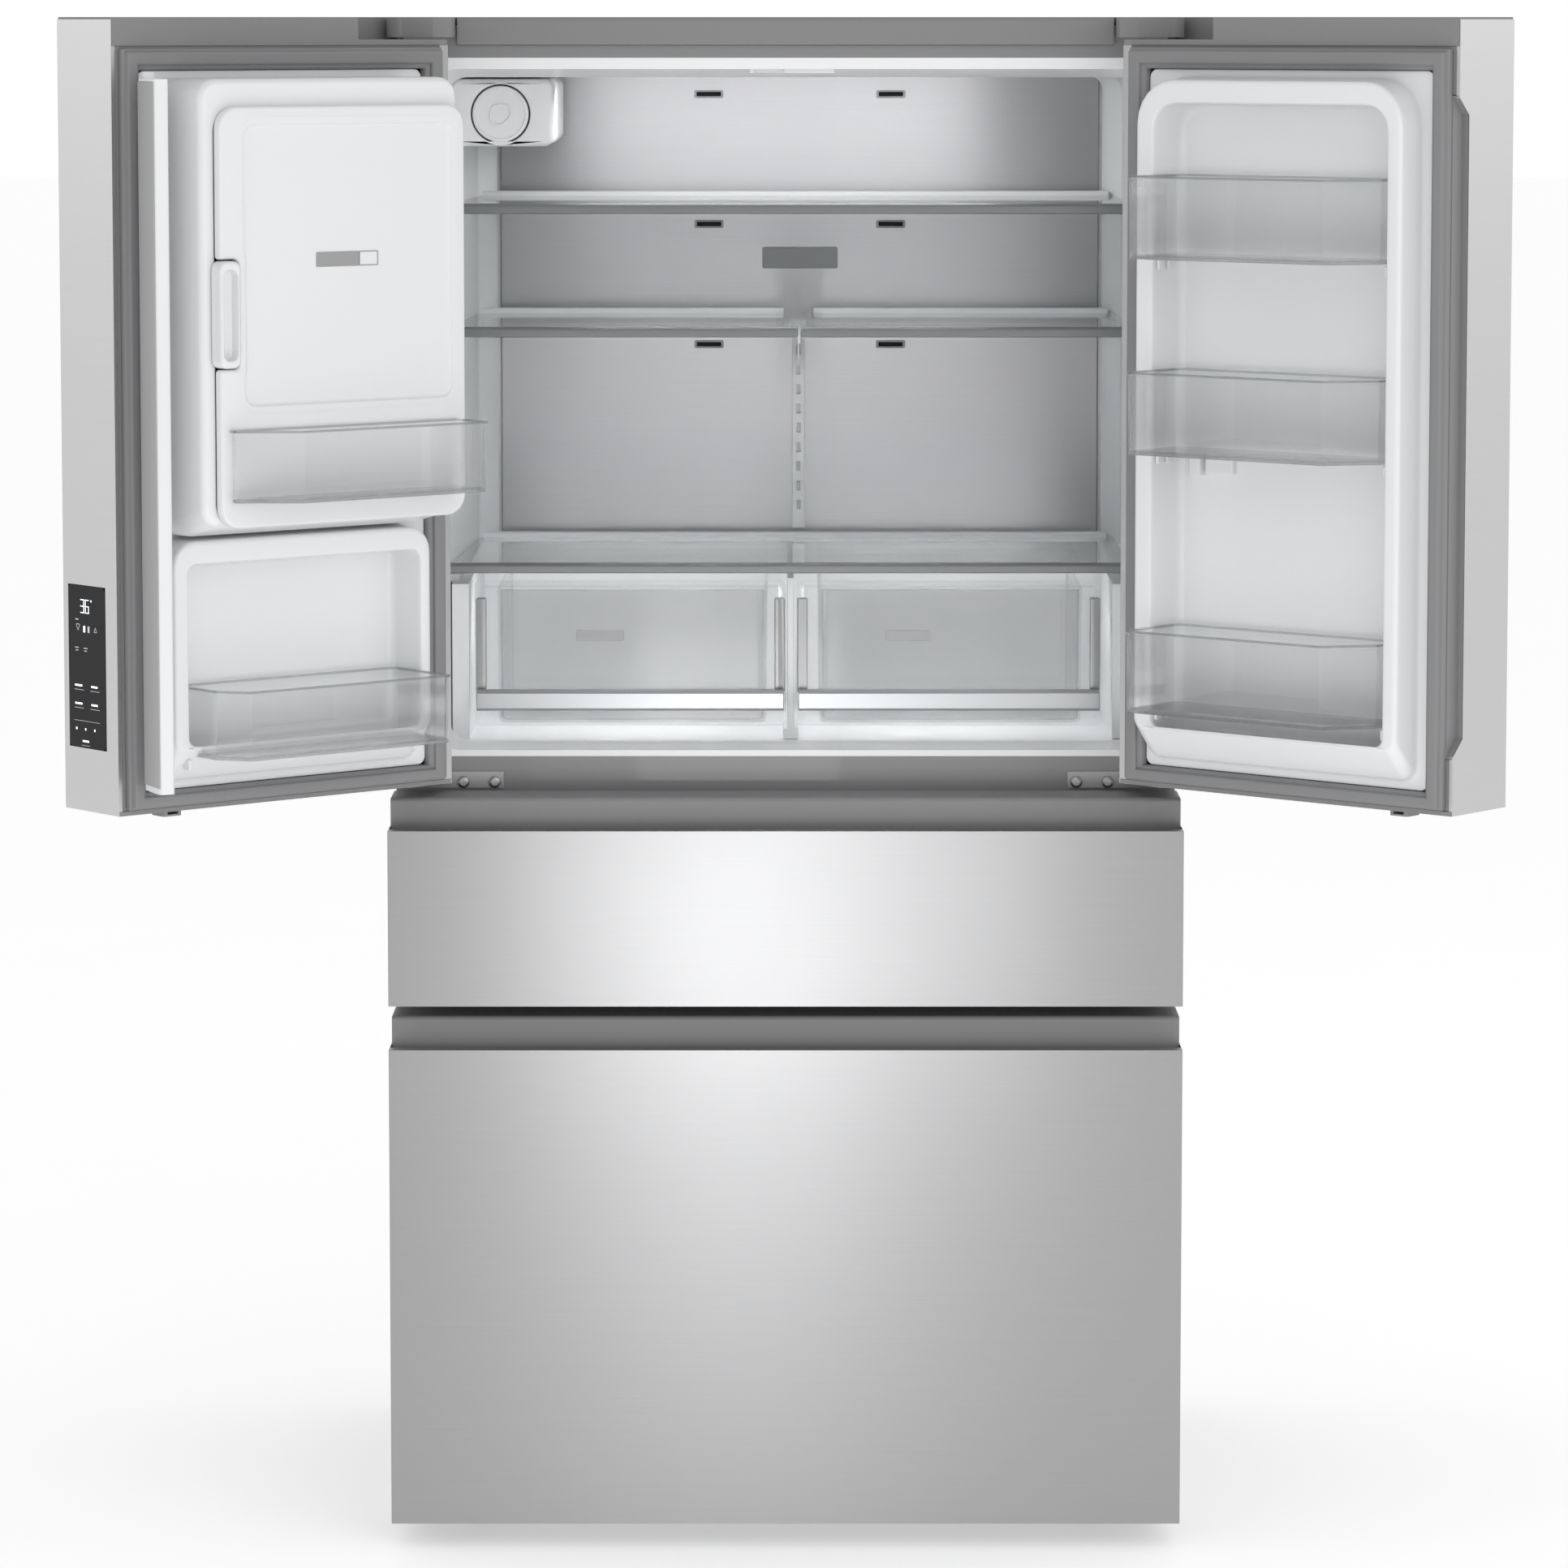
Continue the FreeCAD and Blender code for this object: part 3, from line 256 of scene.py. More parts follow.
# --- mesh helpers
def rounded(points, radii, steps=6):
    """Closed outline with each corner replaced by an arc; always steps + 1 points a corner."""
    count = len(points)
    if not isinstance(radii, (list, tuple)):
        radii = [radii] * count
    outline = []
    for index in range(count):
        before = Vector(points[index - 1])
        corner = Vector(points[index])
        after = Vector(points[(index + 1) % count])
        back = (before - corner).normalized()
        ahead = (after - corner).normalized()
        half = math.acos(max(-1, min(1, back.dot(ahead)))) / 2
        radius = max(radii[index], 0.00005)
        reach = radius / math.tan(half)
        centre = corner + (back + ahead).normalized() * (radius / math.sin(half))
        start = corner + back * reach - centre
        end = corner + ahead * reach - centre
        turn = start.angle_signed(end)
        for step in range(steps + 1):
            angle = -turn * step / steps
            outline.append(centre + Matrix.Rotation(angle, 2) @ start)
    return outline


def rectangle(a0, a1, b0, b1, radius, steps=6):
    return rounded([(a0, b0), (a1, b0), (a1, b1), (a0, b1)], radius, steps)


def moved_in(outline, distance):
    """Outline moved inwards (anticlockwise outlines) along its corner normals."""
    count = len(outline)
    result = []
    for index in range(count):
        point = outline[index]
        back = outline[index - 1]
        step = 2
        while (point - back).length < 1e-7 and step < count:
            back = outline[index - step]
            step += 1
        ahead = outline[(index + 1) % count]
        step = 2
        while (ahead - point).length < 1e-7 and step < count:
            ahead = outline[(index + step) % count]
            step += 1
        first = (point - back).normalized()
        second = (ahead - point).normalized()
        normal = Vector((-first.y - second.y, first.x + second.x)).normalized()
        stretch = max(0.35, normal.dot(Vector((-first.y, first.x))))
        result.append(point + normal * (distance / stretch))
    return result


def new_object(name, data):
    """An object linked to the scene."""
    thing = bpy.data.objects.new(name, data)
    bpy.context.scene.collection.objects.link(thing)
    return thing


def make_object(name, points, faces):
    """Object from points and faces, smooth except on large caps and sharp edges."""
    mesh = bpy.data.meshes.new(name)
    mesh.from_pydata([tuple(p) for p in points], [], faces)
    mesh.update()
    edit = bmesh.new()
    edit.from_mesh(mesh)
    bmesh.ops.remove_doubles(edit, verts=edit.verts, dist=1e-6)
    bmesh.ops.recalc_face_normals(edit, faces=edit.faces)
    edit.to_mesh(mesh)
    edit.free()
    mesh.polygons.foreach_set("use_smooth", [p.loop_total < 5 for p in mesh.polygons])
    sharpen(mesh)
    return new_object(name, mesh)


def sharpen(mesh):
    """Keep sharp edges crisp while the rest is shaded smooth."""
    edit = bmesh.new()
    edit.from_mesh(mesh)
    for edge in edit.edges:
        if len(edge.link_faces) == 2 and edge.calc_face_angle(0) > SHARP_ANGLE:
            edge.smooth = False
    edit.to_mesh(mesh)
    edit.free()


def loft(name, rings, place, closed=False):
    """Skin over rings of (outline, height); place turns (a, b, height) into a point."""
    count = len(rings[0][0])
    points = [place(p[0], p[1], height) for outline, height in rings for p in outline]
    faces = []
    spans = len(rings) if closed else len(rings) - 1
    for ring in range(spans):
        low = ring * count
        high = ((ring + 1) % len(rings)) * count
        for index in range(count):
            after = (index + 1) % count
            faces.append((low + index, low + after, high + after, high + index))
    if not closed:
        faces.append(tuple(reversed(range(count))))
        faces.append(tuple(range((len(rings) - 1) * count, len(rings) * count)))
    return make_object(name, points, faces)


def pad(name, outline, low, high, place, edge=0.002):
    """Flat body with softened top and bottom edges."""
    rings = [
        (moved_in(outline, edge), low),
        (moved_in(outline, edge * EASE), low + edge * EASE),
        (outline, low + edge),
        (outline, high - edge),
        (moved_in(outline, edge * EASE), high - edge * EASE),
        (moved_in(outline, edge), high),
    ]
    return loft(name, rings, place)


def ring_body(name, outer, inner, low, high, place, edge=0.002):
    """Flat frame between two outlines with softened edges."""
    rings = [
        (outer, low),
        (outer, high - edge),
        (moved_in(outer, edge * EASE), high - edge * EASE),
        (moved_in(outer, edge), high),
        (moved_in(inner, -edge), high),
        (moved_in(inner, -edge * EASE), high - edge * EASE),
        (inner, high - edge),
        (inner, low),
    ]
    return loft(name, rings, place, closed=True)


def tray(name, outline, low, high, wall, floor, place, rim=0.0, draft=0.0):
    """Open tray: upright wall with a rolled rim, rounded foot, flat floor."""
    foot = 0.004
    rings = [
        (moved_in(outline, draft + foot), low),
        (moved_in(outline, draft + foot * EASE), low + foot * EASE),
        (moved_in(outline, draft), low + foot),
        (outline, high - 0.006),
    ]
    if rim:
        rings.append((moved_in(outline, -rim * 0.7), high - 0.005))
        rings.append((moved_in(outline, -rim), high - 0.003))
        rings.append((moved_in(outline, -rim), high - 0.001))
        rings.append((moved_in(outline, -rim * 0.5), high))
    rings.append((moved_in(outline, wall * 0.5), high))
    rings.append((moved_in(outline, wall), high - 0.0015))
    rings.append((moved_in(outline, wall + draft), low + floor + foot))
    rings.append((moved_in(outline, wall + draft + foot * 0.5), low + floor + foot * EASE))
    rings.append((moved_in(outline, wall + draft + foot), low + floor))
    return loft(name, rings, place)


def flat_place(a, b, height):
    """Plan outline in the frame: a along X, b from the front plane along Y."""
    return Vector((a, FRONT + b, height))


def upright_place(a, b, height):
    """Outline facing the viewer: a along X, b up, height from the front plane along Y."""
    return Vector((a, FRONT + height, b))


def outward_place(a, b, height):
    """Outline facing the viewer: a along X, b up, height towards the viewer."""
    return Vector((a, FRONT - height, b))


def sideways_place(a, b, height):
    """Outline seen from the side: a from the front plane along Y, b up, height along X."""
    return Vector((height, FRONT + a, b))


def block(name, low, high, edge):
    """Block with softened edges, its Y measured from the front plane."""
    outline = rectangle(low[0], high[0], low[1], high[1], max(edge, 0.0003), 3)
    return pad(name, outline, low[2], high[2], flat_place, edge)


def mm_block(name, x, y, z, edge):
    """Block between the ends of three ranges in millimetres."""
    low, high = zip(*[(first * MM, last * MM) for first, last in (x, y, z)])
    return block(name, low, high, edge * MM)


def weighted_normals(piece):
    """Shade by face area and keep the marked edges crisp."""
    normals = piece.modifiers.new("normals", "WEIGHTED_NORMAL")
    normals.keep_sharp = True


def dress(piece, body, material, slot, *replaced):
    """Give a new piece its material and its body; the slot argument is not used."""
    piece.data.materials.clear()
    piece.data.materials.append(M[material])
    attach(piece, body)
    if replaced:
        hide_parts(*replaced)
    weighted_normals(piece)


def join(name, pieces):
    """Join pieces made of one material into one mesh."""
    mesh = bmesh.new()
    for piece in pieces:
        mesh.from_mesh(piece.data)
    data = bpy.data.meshes.new(name)
    mesh.to_mesh(data)
    mesh.free()
    for piece in pieces:
        bpy.data.objects.remove(piece)
    return new_object(name, data)


class Door:
    """Space of one door: (u, p, z) to points of the rest frame."""

    def __init__(self, side):
        joint = joints[side + "_door_hinge"]
        self.side = side
        self.body = side + "_door"
        self.sign = -1 if side == "left" else 1
        pin = Vector(joint["pos_m"])
        turn = -math.radians(joint["range_deg"][0]) * joint["axis"][2]
        self.open = (Matrix.Translation(pin) @ Matrix.Rotation(turn, 4, "Z")
                     @ Matrix.Translation(-pin))
        low, high = self.shut_box(side + "_door_skin")
        self.edge = max(abs(low.x), abs(high.x))
        self.inner = high.y

    def shut_box(self, node):
        """Box of one of this door's nodes while the door is shut."""
        shut = self.open.inverted()
        points = [shut @ v.co for v in frame["nodes"][node].data.vertices]
        low = Vector([min(p[i] for p in points) for i in range(3)])
        high = Vector([max(p[i] for p in points) for i in range(3)])
        return low, high

    def at(self, u, p, z):
        return self.open @ Vector((self.sign * (self.edge - u), self.inner + p, z))

    def facing(self, u, z, p):
        """Outline on the inner face, height proud of it."""
        return self.at(u, p, z)

    def plan(self, u, p, z):
        """Outline in plan, height up."""
        return self.at(u, p, z)


left = Door("left")
right = Door("right")


# --- carried-over CAD nodes
CAD_FINISH = {
    # the drawer fronts take the darker copy of the steel, painted shade
    "steel_wide": ["flex_drawer_front", "freezer_drawer_front"],
    "steel_door": ["left_door_skin", "right_door_skin"],
    "steel_panel": ["duct_panel"],
    "grey_paint": ["front_frame", "top_hinges"],
    "mullion_grey": ["mullion_face"],
    "plate_grey": ["middle_hinges"],
    "grey_plastic": ["top_cap", "hinge_covers", "left_door_caps", "right_door_caps",
                     "flex_drawer_inner", "freezer_drawer_inner"],
    "cabinet_paint": ["cabinet_shell"],
    "white_liner": ["drawer_liners", "left_door_core", "right_door_core", "fridge_liner"],
    "white_plastic": ["mullion_shell", "mullion_guide", "filter_housing", "filter_cartridge",
                      "crisper_frame", "flex_drawer_tub", "freezer_drawer_tub", "shelf_track",
                      "ice_latch", "ice_housing", "ice_cover"],
    "clear_plastic": ["left_door_bin", "right_door_bins", "can_bin", "ice_bucket",
                      "freezer_basket"],
    "smoky_plastic": ["crisper_left", "crisper_right"],
    "silver_trim": ["wide_shelf_trims", "half_shelf_trims"],
    "handle_silver": ["crisper_left_handle", "crisper_right_handle"],
    "shelf_glass": ["shelf_glass"],
    "black_glass": ["control_panel"],
    "gasket": ["left_door_gasket", "right_door_gasket"],
    "dark_plastic": ["dispenser_housing", "dispenser_paddle", "levelling_feet", "rear_rollers",
                     "fan_shroud", "condenser_fan", "water_valve"],
    "zinc": ["cabinet_back", "base_frame", "drawer_rails", "machine_cover"],
    "bright_steel": ["hinge_screws"],
    "black_enamel": ["compressor"],
    "foam": ["cabinet_insulation"],
}
# width of the softened edges, millimetres
EDGE_SOFTENING = {
    "hinge_covers": 3.0, "top_cap": 2.0, "left_door_caps": 1.2, "right_door_caps": 1.2,
    "flex_drawer_inner": 1.5, "freezer_drawer_inner": 1.5, "ice_latch": 1.5,
    "filter_housing": 3.0, "mullion_shell": 1.2, "middle_hinges": 0.6, "machine_cover": 0.3,
    "dispenser_housing": 0.8, "dispenser_paddle": 1.0, "crisper_left_handle": 1.5,
    "crisper_right_handle": 1.5, "water_valve": 0.8, "base_frame": 0.6, "fan_shroud": 1.0,
    "flex_drawer_front": 0.35, "freezer_drawer_front": 0.35, "left_door_skin": 0.35,
    "right_door_skin": 0.35, "cabinet_shell": 0.4, "shelf_glass": 0.8, "shelf_track": 0.5,
    "control_panel": 0.4, "flex_drawer_tub": 0.8, "freezer_drawer_tub": 0.8,
    "freezer_basket": 0.8, "crisper_frame": 1.0, "drawer_rails": 0.4, "mullion_guide": 0.6,
    "cabinet_back": 0.3, "compressor": 1.0, "condenser_fan": 0.6, "levelling_feet": 0.6,
    "rear_rollers": 0.8, "wide_shelf_trims": 0.8, "half_shelf_trims": 0.8,
}


def dress_cad():
    """Materials and softened edges on the nodes carried over from the CAD model."""
    for material, nodes in CAD_FINISH.items():
        for name in nodes:
            node = frame["nodes"][name]
            node.data.materials.clear()
            node.data.materials.append(M[material])
            weld = node.modifiers.new("weld", "WELD")
            weld.merge_threshold = WELD_DISTANCE
            if name in EDGE_SOFTENING:
                soft = node.modifiers.new("soft_edges", "BEVEL")
                soft.width = EDGE_SOFTENING[name] * MM
                soft.segments = 3
                soft.limit_method = "ANGLE"
                soft.angle_limit = SOFTEN_ANGLE
                soft.use_clamp_overlap = True
            weighted_normals(node)


dress_cad()


# --- doors
def mix_outlines(outer, inner, share):
    """Outline part of the way from one outline to another with as many points."""
    return [a.lerp(b, share) for a, b in zip(outer, inner)]


def mm_rectangle(a0, a1, b0, b1, radius, steps=6):
    """Outline in millimetres; radius is one number or four, from the (a0, b0) corner on."""
    radii = [r * MM for r in (radius if isinstance(radius, (list, tuple)) else [radius] * 4)]
    return rectangle(a0 * MM, a1 * MM, b0 * MM, b1 * MM, radii, steps)


def mm_points(points):
    """Corners in millimetres to points in metres."""
    return [(a * MM, b * MM) for a, b in points]


def mm_rings(rings):
    """Rings whose heights are in millimetres."""
    return [(outline, height * MM) for outline, height in rings]


def door_liner(door, dike_u, top, corner):
    """White inner panel of a door, millimetres: thin plate, raised dike with a slanted
    foot, and a recess with softened edges."""
    bottom = 928
    dike_radii = [16, 16, corner, corner]
    inner_corner = max(corner - 22, 10)
    recess_radii = [10, 10, inner_corner, inner_corner]
    plate = mm_rectangle(38, 420, 916, 1700, 10)
    outer = mm_rectangle(dike_u, 405, bottom, top, dike_radii)
    raised = mm_rectangle(dike_u, 405, bottom + 30, top, dike_radii)
    inner = mm_rectangle(72, 384, bottom + 38, top - 28, recess_radii)
    floor = mm_rectangle(72, 384, bottom + 26, top - 28, recess_radii)
    rings = mm_rings([
        (plate, -22), (plate, 0.2), (moved_in(plate, 0.0008), 1),
        (moved_in(outer, -0.007), 1), (moved_in(outer, -0.003), 2),
        (moved_in(outer, -0.0008), 4.5), (outer, 9),
        (mix_outlines(moved_in(outer, 0.0015), moved_in(raised, 0.0015), 0.9), 34.5),
        (moved_in(raised, 0.0022), 37.6), (moved_in(raised, 0.004), 39.4),
        (moved_in(raised, 0.007), 40), (moved_in(inner, -0.004), 40),
        (moved_in(inner, -0.0018), 39.2), (moved_in(inner, -0.0006), 37.5),
        (mix_outlines(inner, floor, 0.1), 33), (moved_in(floor, 0.001), -4),
        (moved_in(floor, 0.0022), -8.5), (moved_in(floor, 0.005), -11.8),
        (moved_in(floor, 0.008), -13),
    ])
    return loft(door.side + "_liner", rings, door.facing)


def door_block(door, name, u0, u1, p0, p1, z0, z1, edge):
    """Block with softened edges in a door's space, millimetres."""
    outline = mm_rectangle(u0, u1, z0, z1, edge, 3)
    return pad(name, outline, p0 * MM, p1 * MM, door.facing, edge * MM)


def bin_outline(chamfer_u, free_u, front, side):
    """Plan of a door bin, millimetres: straight front, chamfer towards the free side."""
    hinge_u, back = 76, -6
    corners = [(hinge_u, back), (free_u, back), (free_u, side), (chamfer_u, front),
               (hinge_u, front)]
    return rounded(mm_points(corners), 9 * MM, 5)


def door_bin(door, name, outline, z0, z1):
    """Clear bin with a rolled rim and slightly tapered walls."""
    return tray(name, outline, z0 * MM, z1 * MM, 0.0026, 0.003, door.plan, 0.0014, 0.0012)


def bin_edges(door, name, outline, z0, z1):
    """Rim bar and foot band of a clear bin, where the plastic is thickest; their grey tint is
    painted shade for the darkening refraction gives there.
    """
    wall = moved_in(outline, 0.0032)
    rim = ring_body(name + "_rim", moved_in(outline, -0.0016), wall, (z1 - 2.2) * MM,
                    (z1 + 0.2) * MM, door.plan, 0.0006)
    foot = pad(name + "_foot", moved_in(outline, 0.0008), z0 * MM, (z0 + 4) * MM,
               door.plan, 0.001)
    return [rim, foot]


def bin_brackets(door, z0):
    """Lugs on the liner that one bin hangs on, at both sides."""
    lugs = []
    for index, u in enumerate((75, 381)):
        for p in (6, 24):
            name = f"{door.side}_lug_{z0:.0f}_{index}_{p}"
            lugs.append(door_block(door, name, u - 2, u + 2, p, p + 10, z0 - 14, z0 - 2, 1))
    return lugs


def make_right_door_inside():
    """Liner with its lugs and tabs, and three clear bins."""
    bin_floors = (1491, 1274, 986)
    bin_height = 92
    pieces = [door_liner(right, 46, 1690, 50)]
    for z0 in bin_floors:
        pieces += bin_brackets(right, z0)
    pieces.append(door_block(right, "tab_narrow", 92, 108, -14, -2, 1246, 1274, 2))
    pieces.append(door_block(right, "tab_wide", 112, 150, -14, -6, 1249, 1272, 2))
    dress(join("right_door_liner", pieces), "right_door", "white_liner", "white_plastic",
          "right_door_core")
    bins = []
    edges = []
    outline = bin_outline(341, 383, 96, 45)
    for z0 in bin_floors:
        bins.append(door_bin(right, f"bin_{z0}", outline, z0, z0 + bin_height))
        edges += bin_edges(right, f"bin_{z0}", outline, z0, z0 + bin_height)
    dress(join("right_door_bin_edges", edges), "right_door", "bin_edge", "clear_plastic")
    dress(join("right_door_clear_bins", bins), "right_door", "clear_plastic", "clear_plastic",
          "right_door_bins")


def make_right_grip():
    """Grey channel that lines the hand groove in the right door's free edge."""
    free_edge = 452.0

    def plate(name, corners, inset_low, inset_high):
        """Plate seen from the free edge, between two depths below that edge."""
        outline = [Vector(corner) * MM for corner in corners]
        rings = [(outline, (free_edge - inset) * MM) for inset in (inset_low, inset_high)]
        return loft(name, rings, lambda a, b, height: right.at(height, a, b))

    pieces = [
        plate("grip_floor", [(-19, 975), (0, 955), (0, 1672), (-19, 1652)], 10.2, 8.8),
        plate("grip_wall", [(-20.3, 975), (-18.8, 975), (-18.8, 1652), (-20.3, 1652)], 10, 1.2),
    ]
    for index, (near, far, thick) in enumerate(((955, 975, -1.4), (1672, 1652, 1.4))):
        slant = [(-19, far), (0, near), (0, near + thick), (-19, far + thick)]
        pieces.append(plate(f"grip_end_{index}", slant, 10, 1.3))
    dress(join("right_door_grip_liner", pieces), "right_door", "grey_plastic", "grey_plastic")


def make_gasket(door):
    """Magnetic gasket: ribbed base and a hollow sealing bulb, mitred at the corners."""
    outer = mm_rectangle(12, 442, 897, 1724, 1, 1)
    inner = mm_rectangle(37.5, 420.5, 915.5, 1700.5, 1, 1)
    profile = [
        (0.0, -0.5), (0.0, 4.2), (0.04, 5.6), (0.09, 6.3), (0.13, 6.5), (0.15, 7.2),
        (0.155, 11.5), (0.19, 12.9), (0.26, 13.4), (0.36, 13.5), (0.56, 13.5),
        (0.66, 13.4), (0.73, 12.9), (0.76, 11.5), (0.765, 9.0), (0.80, 8.4),
        (0.90, 8.0), (0.96, 7.2), (1.0, 5.0), (1.0, -0.5),
    ]
    rings = [(mix_outlines(outer, inner, share), p * MM) for share, p in profile]
    piece = loft(door.side + "_door_seal", rings, door.facing, closed=True)
    dress(piece, door.body, "gasket", "gasket_rubber", door.side + "_door_gasket")


BAND_FREE_EDGE = 450.6            # u of a full-width edge band, millimetres


def make_edge_frame(door, free_edge):
    """Grey band under the gasket that closes the gap between the skin and the liner; where
    it stops short of the free edge, plates fill the two corners."""
    outer = mm_rectangle(1.4, free_edge, 896.4, 1726.2, 1, 2)
    inner = mm_rectangle(37, 421, 915, 1701, 1, 2)
    pieces = [ring_body(door.side + "_edge_frame", outer, inner, -0.0032, -0.0012,
                        door.facing, 0.0004)]
    if free_edge < BAND_FREE_EDGE:
        for z0, z1 in ((896.4, 953), (1674, 1726.2)):
            pieces.append(door_block(door, f"corner_{z0:.0f}", free_edge - 1, BAND_FREE_EDGE,
                                     -3.2, -1.2, z0, z1, 0.4))
    dress(join(door.side + "_edge_band", pieces), door.body, "grey_plastic", "grey_plastic")


def make_left_door_inside():
    """Liner of the lower recess with its lugs, and one clear bin."""
    bin_floor, bin_rim = 953, 1029
    pieces = [door_liner(left, 55.5, 1192, 30)]
    pieces += bin_brackets(left, bin_floor)
    dress(join("left_door_liner", pieces), "left_door", "white_liner", "white_plastic",
          "left_door_core")
    outline = bin_outline(348, 372, 104, 70)
    dress(door_bin(left, "left_door_clear_bin", outline, bin_floor, bin_rim), "left_door",
          "clear_plastic", "clear_plastic", "left_door_bin")
    dress(join("left_door_bin_edges", bin_edges(left, "low_bin", outline, bin_floor, bin_rim)),
          "left_door", "bin_edge", "clear_plastic")


# --- ice compartment
def make_ice_compartment():
    """Housing, hinged cover with its badge and latch grip, can holder and ice bucket."""
    def shell_outline(foot):
        return mm_rectangle(58.5, 403, 1196 + foot, 1692, 22)

    hollow = mm_rectangle(72.5, 385, 1218, 1652, 16)
    rings = mm_rings([
        (shell_outline(0), 1.3), (shell_outline(0), 40), (shell_outline(12), 88),
        (moved_in(shell_outline(13), 0.0012), 93), (moved_in(shell_outline(14), 0.004), 96.2),
        (moved_in(shell_outline(14), 0.007), 97), (moved_in(hollow, -0.003), 97),
        (moved_in(hollow, -0.001), 96), (hollow, 93), (hollow, 9),
        (moved_in(hollow, 0.0015), 5.5), (moved_in(hollow, 0.005), 4),
    ])
    housing = loft("ice_box", rings, left.facing)
    dress(housing, "left_door", "white_liner", "white_plastic", "ice_housing")

    notch_low, notch_high = 1380, 1498.5
    edge = rounded(mm_points([
        (59.5, 1208), (388, 1208), (388, notch_low), (363, notch_low),
        (363, notch_high), (388, notch_high), (388, 1662), (59.5, 1662)]),
        [0.024, 0.024, 0.004, 0.006, 0.006, 0.004, 0.024, 0.024])
    dish = rounded(mm_points([
        (78, 1340), (356, 1340), (356, notch_low - 6), (354, notch_low - 2),
        (354, notch_high + 2), (356, notch_high + 6), (356, 1642), (78, 1642)]),
        [0.014, 0.014, 0.001, 0.001, 0.001, 0.001, 0.014, 0.014])
    rings = mm_rings([
        (moved_in(edge, 0.002), 98), (edge, 100), (edge, 106.5),
        (moved_in(edge, 0.001), 108.8), (moved_in(edge, 0.003), 110),
        (moved_in(dish, -0.002), 110), (moved_in(dish, -0.0006), 109.3), (dish, 108),
        (moved_in(dish, 0.0012), 107.2), (moved_in(dish, 0.003), 107),
    ])
    cover = loft("ice_box_cover", rings, left.facing)
    dress(cover, "ice_door", "white_plastic", "white_plastic", "ice_cover")

    badge_base, badge_face = 0.1068, 0.1078
    dark = pad("badge_dark", mm_rectangle(203, 260, 1487.5, 1503.6, 1, 2), badge_base,
               badge_face, left.facing, 0.0003)
    dress(dark, "ice_door", "plate_grey", "grey_plastic")
    pale = ring_body("badge_pale", mm_rectangle(177, 202.6, 1487.5, 1503.6, 1, 2),
                     mm_rectangle(178, 201.6, 1488.5, 1502.6, 0.5, 2), badge_base,
                     badge_face, left.facing, 0.0003)
    dress(pale, "ice_door", "plate_grey", "grey_plastic")
    line = ring_body("cover_line", mm_rectangle(69, 357.5, 1331, 1651, 14),
                     mm_rectangle(70, 356.5, 1332, 1650, 13), 0.1098, 0.1102,
                     left.facing, 0.0001)
    dress(line, "ice_door", "white_plastic", "white_plastic")

    grip = mm_rectangle(365, 392, 1381.5, 1497, 9)
    scoop = mm_rectangle(369.5, 387.5, 1390, 1488, 7.5)
    rings = mm_rings([
        (grip, 99), (grip, 113), (moved_in(grip, 0.001), 115.6), (moved_in(grip, 0.003), 117),
        (moved_in(scoop, -0.0015), 117), (moved_in(scoop, -0.0004), 116.2), (scoop, 114.5),
        (moved_in(scoop, 0.001), 106), (moved_in(scoop, 0.004), 104.5),
    ])
    dress(loft("ice_latch_grip", rings, left.facing), "latch", "white_plastic",
          "white_plastic", "ice_latch")

    outline = rounded(mm_points([(72, 110.4), (380, 110.4), (380, 124), (321, 170),
                                 (72, 170)]), 0.009, 5)
    bin_piece = tray("can_holder", outline, 1.237, 1.315, 0.0026, 0.003, left.plan, 0.0, 0.001)
    dress(bin_piece, "ice_door", "clear_plastic", "clear_plastic", "can_bin")
    dress(join("can_holder_edges", bin_edges(left, "can_holder", outline, 1237, 1315)),
          "ice_door", "bin_edge", "clear_plastic")

    bucket = mm_rectangle(84, 366, 16, 88, 14)
    bucket_piece = tray("ice_bin", bucket, 1.226, 1.44, 0.003, 0.003, left.plan, 0.0, 0.002)
    dress(bucket_piece, "left_door", "frosted_plastic", "clear_plastic", "ice_bucket")


